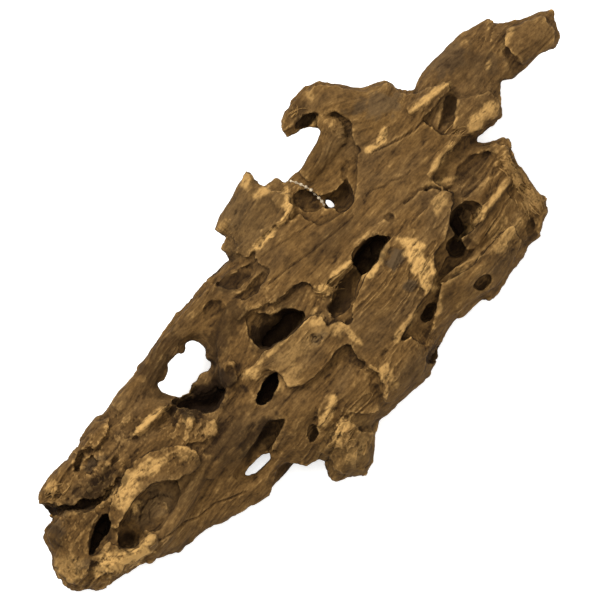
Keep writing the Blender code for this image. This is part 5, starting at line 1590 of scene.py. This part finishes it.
class WeatheredWood:
    """The shader group that draws old bare wood from the grain, the wear and the patches of each tone on its
    vertices, and paints shade into its hollows, creases and sunk ground.
    """

    name: str = "weathered_wood"

    def __init__(self) -> None:
        """Builds the group once."""
        self.tree = bpy.data.node_groups.new(self.name, "ShaderNodeTree")
        for socket in ("Wood", "Worn", "Silver", "ShadeAndDark"):
            self.tree.interface.new_socket(socket, in_out="INPUT", socket_type="NodeSocketColor")
        for socket in ("Relief", "Rough"):
            self.tree.interface.new_socket(socket, in_out="INPUT", socket_type="NodeSocketFloat")
        self.tree.interface.new_socket("Color", in_out="OUTPUT", socket_type="NodeSocketColor")
        for socket in ("Roughness", "Height"):
            self.tree.interface.new_socket(socket, in_out="OUTPUT", socket_type="NodeSocketFloat")
        self._draw()

    def _draw(self) -> None:
        """Lays out the group's nodes."""
        bench = NodeBench(self.tree)
        given = bench.node("NodeGroupInput").outputs
        result = bench.node("NodeGroupOutput").inputs
        place = bench.attribute("grain").outputs["Vector"]
        names = ("fine", "middle", "broad", "deep", *(tone.value for tone in Tone))
        fine, middle, broad, deep, pale, grey, dark = (bench.attribute(name).outputs["Fac"] for name in names)
        lines = bench.noise(place, (0.085, 0.98, 0.80), 2.0, 3.1)
        streaks = bench.noise(place, (0.045, 0.40, 0.34), 3.0, 7.7)
        mottle = bench.noise(place, (0.055, 0.11, 0.11), 4.0, 12.3)
        spot = bench.node("ShaderNodeTexCoord").outputs["Object"]
        flecks = bench.noise(spot, (560, 950, 950), 3.0, 21.9)
        specks = bench.noise(spot, (150, 310, 310), 4.0, 51.3)
        crumbs = bench.noise(spot, (800, 1100, 1100), 2.0, 44.1)
        cloud = bench.noise(place, (0.028, 0.05, 0.05), 3.0, 31.3)
        # The tone follows the rounding, dark in hollows and creases as painted shade and pale on crests as
        # wear, with grain, mottle and specks on top
        tone = bench.math("MULTIPLY_ADD", middle, 0.44, 0.16)
        layers = (fine, broad, streaks, lines, mottle, flecks, specks)
        for layer, share in zip(layers, (0.14, 0.16, 0.36, 0.38, 0.54, 0.52, 0.88)):
            tone = bench.math("MULTIPLY_ADD", layer, share, bench.math("SUBTRACT", tone, share / 2))
        # Painted shade: sunk ground is darker
        tone = bench.math("MULTIPLY_ADD", deep, -0.10, tone, clamp=True)
        light = bench.ramp(tone, ((0.40, 0.0), (0.58, 0.10), (0.74, 0.36), (0.90, 0.75)))
        # Painted shade: low tone, mostly in hollows and creases, turns towards the near-black brown
        shade = bench.ramp(tone, ((0.02, 0.85), (0.20, 0.42), (0.42, 0.0)))
        grain = bench.math("ADD", bench.math("MULTIPLY", flecks, 0.45), bench.math("MULTIPLY", lines, 0.15))
        grain = bench.math("MULTIPLY_ADD", specks, 0.4, grain)
        grain = bench.ramp(grain, ((0.34, 0.35), (0.46, 0.80), (0.56, 1.0)))
        color = bench.mixed(light, given["Wood"], given["Worn"])
        rim = bench.ramp(fine, ((0.66, 0.0), (0.95, 0.26)))
        color = bench.mixed(bench.math("MULTIPLY", rim, grain, clamp=True), color, given["Worn"])
        cast = bench.ramp(cloud, ((0.46, 0.0), (0.64, 0.30)))
        cast = bench.math("MAXIMUM", cast, bench.math("MULTIPLY", grey, 0.85))
        color = bench.mixed(cast, color, given["Silver"])
        color = bench.mixed(bench.math("MULTIPLY", pale, grain, clamp=True), color, given["Worn"])
        # Dark patches, partly dark wood and mostly painted shade, turn towards the near-black brown
        dark_and_shade = bench.math("MULTIPLY", dark, 0.72, clamp=True)
        # Painted shade: the deeper a place is sunk, the nearer it is to the near-black brown
        sunk_shade = bench.math("MULTIPLY", bench.math("POWER", deep, 1.3), 0.72, clamp=True)
        for share in (shade, dark_and_shade, sunk_shade):
            color = bench.mixed(share, color, given["ShadeAndDark"])
        bench.link(color, result["Color"])
        rough = bench.math("MULTIPLY_ADD", light, -0.12, given["Rough"])
        rough = bench.math("MULTIPLY_ADD", streaks, 0.12, rough, clamp=True)
        bench.link(rough, result["Roughness"])
        pores = bench.ramp(flecks, ((0.34, 0.0), (0.50, 1.0)))
        height = bench.math("MULTIPLY_ADD", lines, 0.7, bench.math("MULTIPLY", pores, 0.5))
        height = bench.math("MULTIPLY_ADD", streaks, 0.5, height)
        torn = bench.math("ADD", pale, bench.ramp(fine, ((0.55, 0.0), (0.85, 0.8))), clamp=True)
        height = bench.math("ADD", height, bench.math("MULTIPLY", torn, bench.math("MULTIPLY", crumbs, 1.5)))
        bench.link(bench.math("MULTIPLY", height, given["Relief"]), result["Height"])

    def dress(self, finish: WoodFinish) -> bpy.types.Material:
        """A material of this wood with a finish's own values.

        Args:
            finish: The finish.

        Returns:
            The new material.
        """
        made = bpy.data.materials.new(finish.name)
        made.use_nodes = True
        bench = NodeBench(made.node_tree)
        shader = made.node_tree.nodes["Principled BSDF"]
        group = bench.node("ShaderNodeGroup", node_tree=self.tree)
        for socket, color in (
            ("Wood", finish.wood), ("Worn", finish.worn), ("Silver", finish.silver), ("ShadeAndDark", finish.hollow)
        ):
            group.inputs[socket].default_value = (*color, 1.0)
        group.inputs["Relief"].default_value = finish.relief
        group.inputs["Rough"].default_value = finish.rough
        bump = bench.node("ShaderNodeBump")
        bump.inputs["Strength"].default_value = 1.0
        bump.inputs["Distance"].default_value = 0.001
        bench.link(group.outputs["Height"], bump.inputs["Height"])
        bench.link(group.outputs["Color"], shader.inputs["Base Color"])
        bench.link(group.outputs["Roughness"], shader.inputs["Roughness"])
        bench.link(bump.outputs["Normal"], shader.inputs["Normal"])
        shader.inputs["Specular IOR Level"].default_value = 0.12
        return made


@dataclass
class WoodPart:
    """One part of the wood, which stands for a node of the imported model.

    Attributes:
        name: The piece's name.
        node: The node that it stands for.
        finish: Its finish.
        region: The plan polygon that it fills, or none for a quarter of what the others leave.
    """

    name: str
    node: str
    finish: WoodFinish
    region: tuple[Point, ...] | None = None

    def install(self, made: bpy.types.Object) -> None:
        """Names the part, shades it as the whole is shaded, gives it its body and hides the node that it stands
        for.
        """
        made.name = self.name
        mesh = made.data
        shading = Bench.rows(mesh.attributes["shading"].data, "vector")
        mesh.attributes.remove(mesh.attributes["shading"])
        Bench.pick(made)
        bpy.ops.object.shade_smooth()
        mesh.normals_split_custom_set_from_vertices(shading.tolist())
        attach(made, "root")
        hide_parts(self.node)
        log.info("%s: %d faces", self.name, len(mesh.polygons))


@dataclass
class Fibres:
    """Thin dry fibres that lie on the wood, and the small knobs on one of them.

    Attributes:
        name: The piece's name.
        seed: Picks the fibres' scatter.
        lengths: The shortest and the longest fibre, in plan units.
        radii: The thinnest and the thickest fibre's radius in metres.
        joints: Places along a fibre.
    """

    name: str
    seed: int = 4
    lengths: Point = (7, 22)
    radii: Point = (0.0003, 0.00075)
    joints: int = 7

    @staticmethod
    def single(line: np.ndarray, radius: float, tip: float) -> bpy.types.Object:
        """A tapered fibre through places, with its radius at the root and the tip's share of that."""
        taper = radius * np.linspace(1, tip, len(line))
        return Bench.tube("fibre", line, np.column_stack((taper, taper)), 5)

    @staticmethod
    def lay(tree: BVHTree, path: np.ndarray, lift: float, drop: float = 0.005) -> np.ndarray | None:
        """A path on the plan laid on the wood.

        Args:
            tree: The wood's surface.
            path: Rows of across and down.
            lift: Height above the surface in metres.
            drop: The biggest step up or down that it takes, in metres.

        Returns:
            Rows of x, y and z, or none where the path leaves the wood or meets a bigger step.
        """
        found = Bench.plumb(tree, path)
        if any(place is None for place in found):
            return None
        line = np.array([tuple(place) for place in found])
        if np.abs(np.diff(line[:, 2])).max() > drop:
            return None
        line[:, 2] += lift
        return line

    def build(self, tree: BVHTree) -> bpy.types.Object:
        """Lays the fibres of the torn end, and those of the other broken places.

        Args:
            tree: The wood's surface.

        Returns:
            All the fibres in one object.
        """
        chance = np.random.default_rng(self.seed)
        made = []
        for u, v, reach, angle, count in FRAYED:
            for _ in range(count):
                start = np.array((u, v)) + chance.normal(size=2) * reach
                turn = math.radians(angle + chance.normal() * 9)
                bend = chance.normal() * 0.11
                length = chance.uniform(*self.lengths)
                headings = turn + bend * np.arange(self.joints)
                moves = np.column_stack((np.cos(headings), -np.sin(headings))) * length / self.joints
                line = self.lay(tree, start + np.cumsum(moves, axis=0), 0.00022)
                if line is not None:
                    made.append(self.single(line, chance.uniform(*self.radii), 0.35))
        return Bench.join(self.name, made)

    def beads(self, tree: BVHTree) -> bpy.types.Object:
        """The row of small pale knobs on a dry root hair.

        Args:
            tree: The wood's surface.

        Returns:
            The hair and its knobs in one object.
        """
        places = np.array(KNOBS, float)
        line = self.lay(tree, places[:, :2], 0.0, 1.0)
        straight = np.linspace(line[0, 2], line[0, 2] - 0.002, len(line))
        line[:, 2] = np.maximum(line[:, 2], straight) + 0.0004
        made = [self.single(line, 0.0003, 0.9)]
        for place, size in zip(line, places[:, 2]):
            bpy.ops.mesh.primitive_ico_sphere_add(subdivisions=2, radius=size * PLAN.unit, location=place)
            knob = bpy.context.active_object
            bpy.ops.object.transform_apply(location=True)
            bpy.ops.object.mode_set(mode="EDIT")
            bpy.ops.mesh.select_all(action="SELECT")
            bpy.ops.transform.vertex_random(offset=size * PLAN.unit * 0.14, seed=self.seed)
            bpy.ops.object.mode_set(mode="OBJECT")
            made.append(knob)
        return Bench.join(self.name, made)

    @staticmethod
    def dress(made: bpy.types.Object, group: WeatheredWood, finish: WoodFinish, pale: float) -> None:
        """Gives fibres or knobs their wear, their material and their body.

        Args:
            made: The piece.
            group: The shader group.
            finish: The finish.
            pale: How pale they are, from 0 to 1.
        """
        mesh = made.data
        places = Bench.places(mesh)
        Bench.record(mesh, "grain", places * 1000)
        for name, value in (("fine", 0.55), ("middle", 0.6), ("broad", 0.5), ("deep", 0.0)):
            Bench.record(mesh, name, np.full(len(places), value))
        share = pale * (0.6 + 0.8 * Noise.waves(places * 160, 9))
        Bench.record(mesh, Tone.PALE.value, np.clip(share, 0, 1))
        for tone in (Tone.GREY, Tone.DARK):
            Bench.record(mesh, tone.value, np.zeros(len(places)))
        Bench.pick(made)
        bpy.ops.object.shade_smooth()
        mesh.materials.append(group.dress(finish))
        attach(made, "root")


@dataclass
class Driftwood:
    """The whole piece of wood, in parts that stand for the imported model's nodes.

    Attributes:
        mass: Makes the skin.
        weathering: Ages it.
        quarters: Parts that the trunk is divided into along the grain.
    """

    mass: WoodMass = field(default_factory=WoodMass)
    weathering: Weathering = field(default_factory=Weathering)
    quarters: int = 4

    def parts(self) -> list[WoodPart]:
        """The parts, the limbs first and the trunk last."""
        crown = FORKS["crown_fork"] + ((620, 100), (620, -20), (380, -20))
        hook = FORKS["hook_fork"] + ((262, 150), (262, 60))
        shoulder = FORKS["shoulder_fork"] + ((190, 262), (190, 160), (284, 160))
        heel = FORKS["heel_fork"] + ((400, 500), (306, 500))
        trunk = WoodFinish("trunk_wood")
        limbs = (
            ("crown_limb", "crown_branch", "crown_wood", (0.122, 0.064, 0.020), crown),
            ("hook_limb", "hook_branch", "hook_wood", (0.132, 0.068, 0.019), hook),
            ("shoulder_slab", "shoulder_stub", "shoulder_wood", (0.130, 0.070, 0.022), shoulder),
            ("heel_tongue", "heel_spur", "heel_wood", (0.138, 0.074, 0.022), heel),
        )
        return [
            *(WoodPart(name, node, WoodFinish(slot, wood), region) for name, node, slot, wood, region in limbs),
            *(WoodPart(f"trunk_{name}", "trunk", trunk) for name in ("head", "waist", "middle", "end")),
        ]

    def build(self) -> None:
        """Builds, weathers and divides the wood."""
        wood = self.mass.build()
        log.info("wood: %d faces in one skin", len(wood.data.polygons))
        self.weathering.apply(wood)
        tree = BVHTree.FromObject(wood, bpy.context.evaluated_depsgraph_get())
        Bench.record(wood.data, "shading", Bench.normals(wood.data))
        middles = Bench.rows(wood.data.polygons, "center")
        plan, lengths = PLAN.to_plan(middles)[:, :2], middles[:, 0]
        owner = np.full(len(plan), -1, np.int32)
        group, parts, found = WeatheredWood(), self.parts(), {}
        first = len(parts) - self.quarters
        wood.data.materials.clear()
        for number, part in enumerate(parts):
            free = owner < 0
            if part.region is not None:
                free &= TornOutline.inside(plan, [part.region])
            if number == first:
                marks = np.quantile(lengths[free], np.arange(1, self.quarters) / self.quarters)
            if part.region is None:
                free &= np.searchsorted(marks, lengths) == number - first
            owner[free] = number
            paint = group.dress(part.finish)
            wood.data.materials.append(paint)
            found[paint.name] = part
        wood.data.polygons.foreach_set("material_index", owner)
        for piece in Bench.parted(wood, "MATERIAL"):
            found[piece.data.materials[0].name].install(piece)
        for piece, finish, pale in (
            (Fibres("end_fibres").build(tree), WoodFinish("dry_fibres"), 0.45),
            (Fibres("knob_row").beads(tree), WoodFinish("pale_knobs", worn=(0.72, 0.60, 0.42)), 1.4),
        ):
            Fibres.dress(piece, group, finish, pale)
            log.info("%s: %d faces", piece.name, len(piece.data.polygons))


@dataclass
class Studio:
    """The pale floor, the soft lights and the camera that looks straight down.

    Attributes:
        reach: Half the floor's side in metres.
        gap: How far the floor lies under the wood, in metres.
        glow: The floor's own light as the camera sees it.
        sky: Strength of the light from all round.
        lamps: Name, place, side in metres and power in watts of each light.
        distance: Height of the camera over the floor in metres.
        middle: Height in metres at which the camera sees the whole view's side.
        view: Side of the square that the camera sees, in metres.
    """

    reach: float = 12.0
    gap: float = 0.0001
    glow: float = 0.62
    sky: float = 0.42
    lamps: tuple[tuple[str, Mark, float, float], ...] = (
        ("key_light", (-0.7, 0.8, 1.25), 0.5, 20),
        ("fill_light", (0.9, -0.3, 1.3), 1.2, 6),
        ("top_light", (-0.08, 0.12, 1.7), 0.45, 9),
    )
    distance: float = 6.0
    middle: float = 0.045
    view: float = 600 * PLAN.unit

    def floor(self) -> None:
        """Lays the floor under the wood."""
        bpy.ops.object.select_all(action="DESELECT")
        bpy.ops.mesh.primitive_plane_add(size=2 * self.reach, location=(0, 0, -self.gap))
        made = bpy.context.active_object
        made.name = "studio_floor"
        paint = bpy.data.materials.new("pale_floor")
        paint.use_nodes = True
        shader = paint.node_tree.nodes["Principled BSDF"]
        shader.inputs["Base Color"].default_value = (0.86, 0.86, 0.85, 1.0)
        shader.inputs["Roughness"].default_value = 0.9
        shader.inputs["Specular IOR Level"].default_value = 0.1
        shader.inputs["Emission Color"].default_value = (1.0, 1.0, 0.99, 1.0)
        bench = NodeBench(paint.node_tree)
        seen = bench.node("ShaderNodeLightPath").outputs["Is Camera Ray"]
        bench.link(bench.math("MULTIPLY", seen, self.glow), shader.inputs["Emission Strength"])
        made.data.materials.append(paint)

    def lamp(self, name: str, place: Mark, size: float, power: float) -> None:
        """Hangs a soft square light that faces the wood.

        Args:
            name: The light's name.
            place: Its place in metres, with x to the right and y up the picture.
            size: Its side in metres.
            power: Its power in watts.
        """
        light = bpy.data.lights.new(name, "AREA")
        light.size = size
        light.energy = power
        made = bpy.data.objects.new(name, light)
        bpy.context.scene.collection.objects.link(made)
        made.location = Matrix.Rotation(-PLAN.grain, 4, "Z") @ Vector(place)
        made.rotation_euler = (-made.location).to_track_quat("-Z", "Y").to_euler()

    def camera(self) -> None:
        """Hangs the camera over the middle of the plan."""
        lens = bpy.data.cameras.new("view")
        lens.sensor_width = 36
        lens.lens = 18 / (self.view / 2 / (self.distance - self.middle))
        lens.clip_end = 100
        made = bpy.data.objects.new("view", lens)
        bpy.context.scene.collection.objects.link(made)
        middle = PLAN.to_row(np.array([(300.0, 300.0, 0.0)]))[0]
        made.location = (middle[0], middle[1], self.distance)
        made.rotation_euler = (0, 0, -PLAN.grain)
        bpy.context.scene.camera = made

    def build(self) -> None:
        """Sets up the floor, the lights, the sky and the camera."""
        self.floor()
        for lamp in self.lamps:
            self.lamp(*lamp)
        sky = bpy.data.worlds.new("studio")
        sky.use_nodes = True
        backdrop = sky.node_tree.nodes["Background"]
        backdrop.inputs["Color"].default_value = (1.0, 1.0, 1.0, 1.0)
        backdrop.inputs["Strength"].default_value = self.sky
        bpy.context.scene.world = sky
        bpy.context.scene.view_settings.view_transform = "Standard"
        self.camera()


def main() -> None:
    """Builds the wood and the studio."""
    logging.basicConfig(level=logging.INFO, format="%(message)s")
    Driftwood().build()
    Studio().build()


if __name__ == "__main__":
    main()
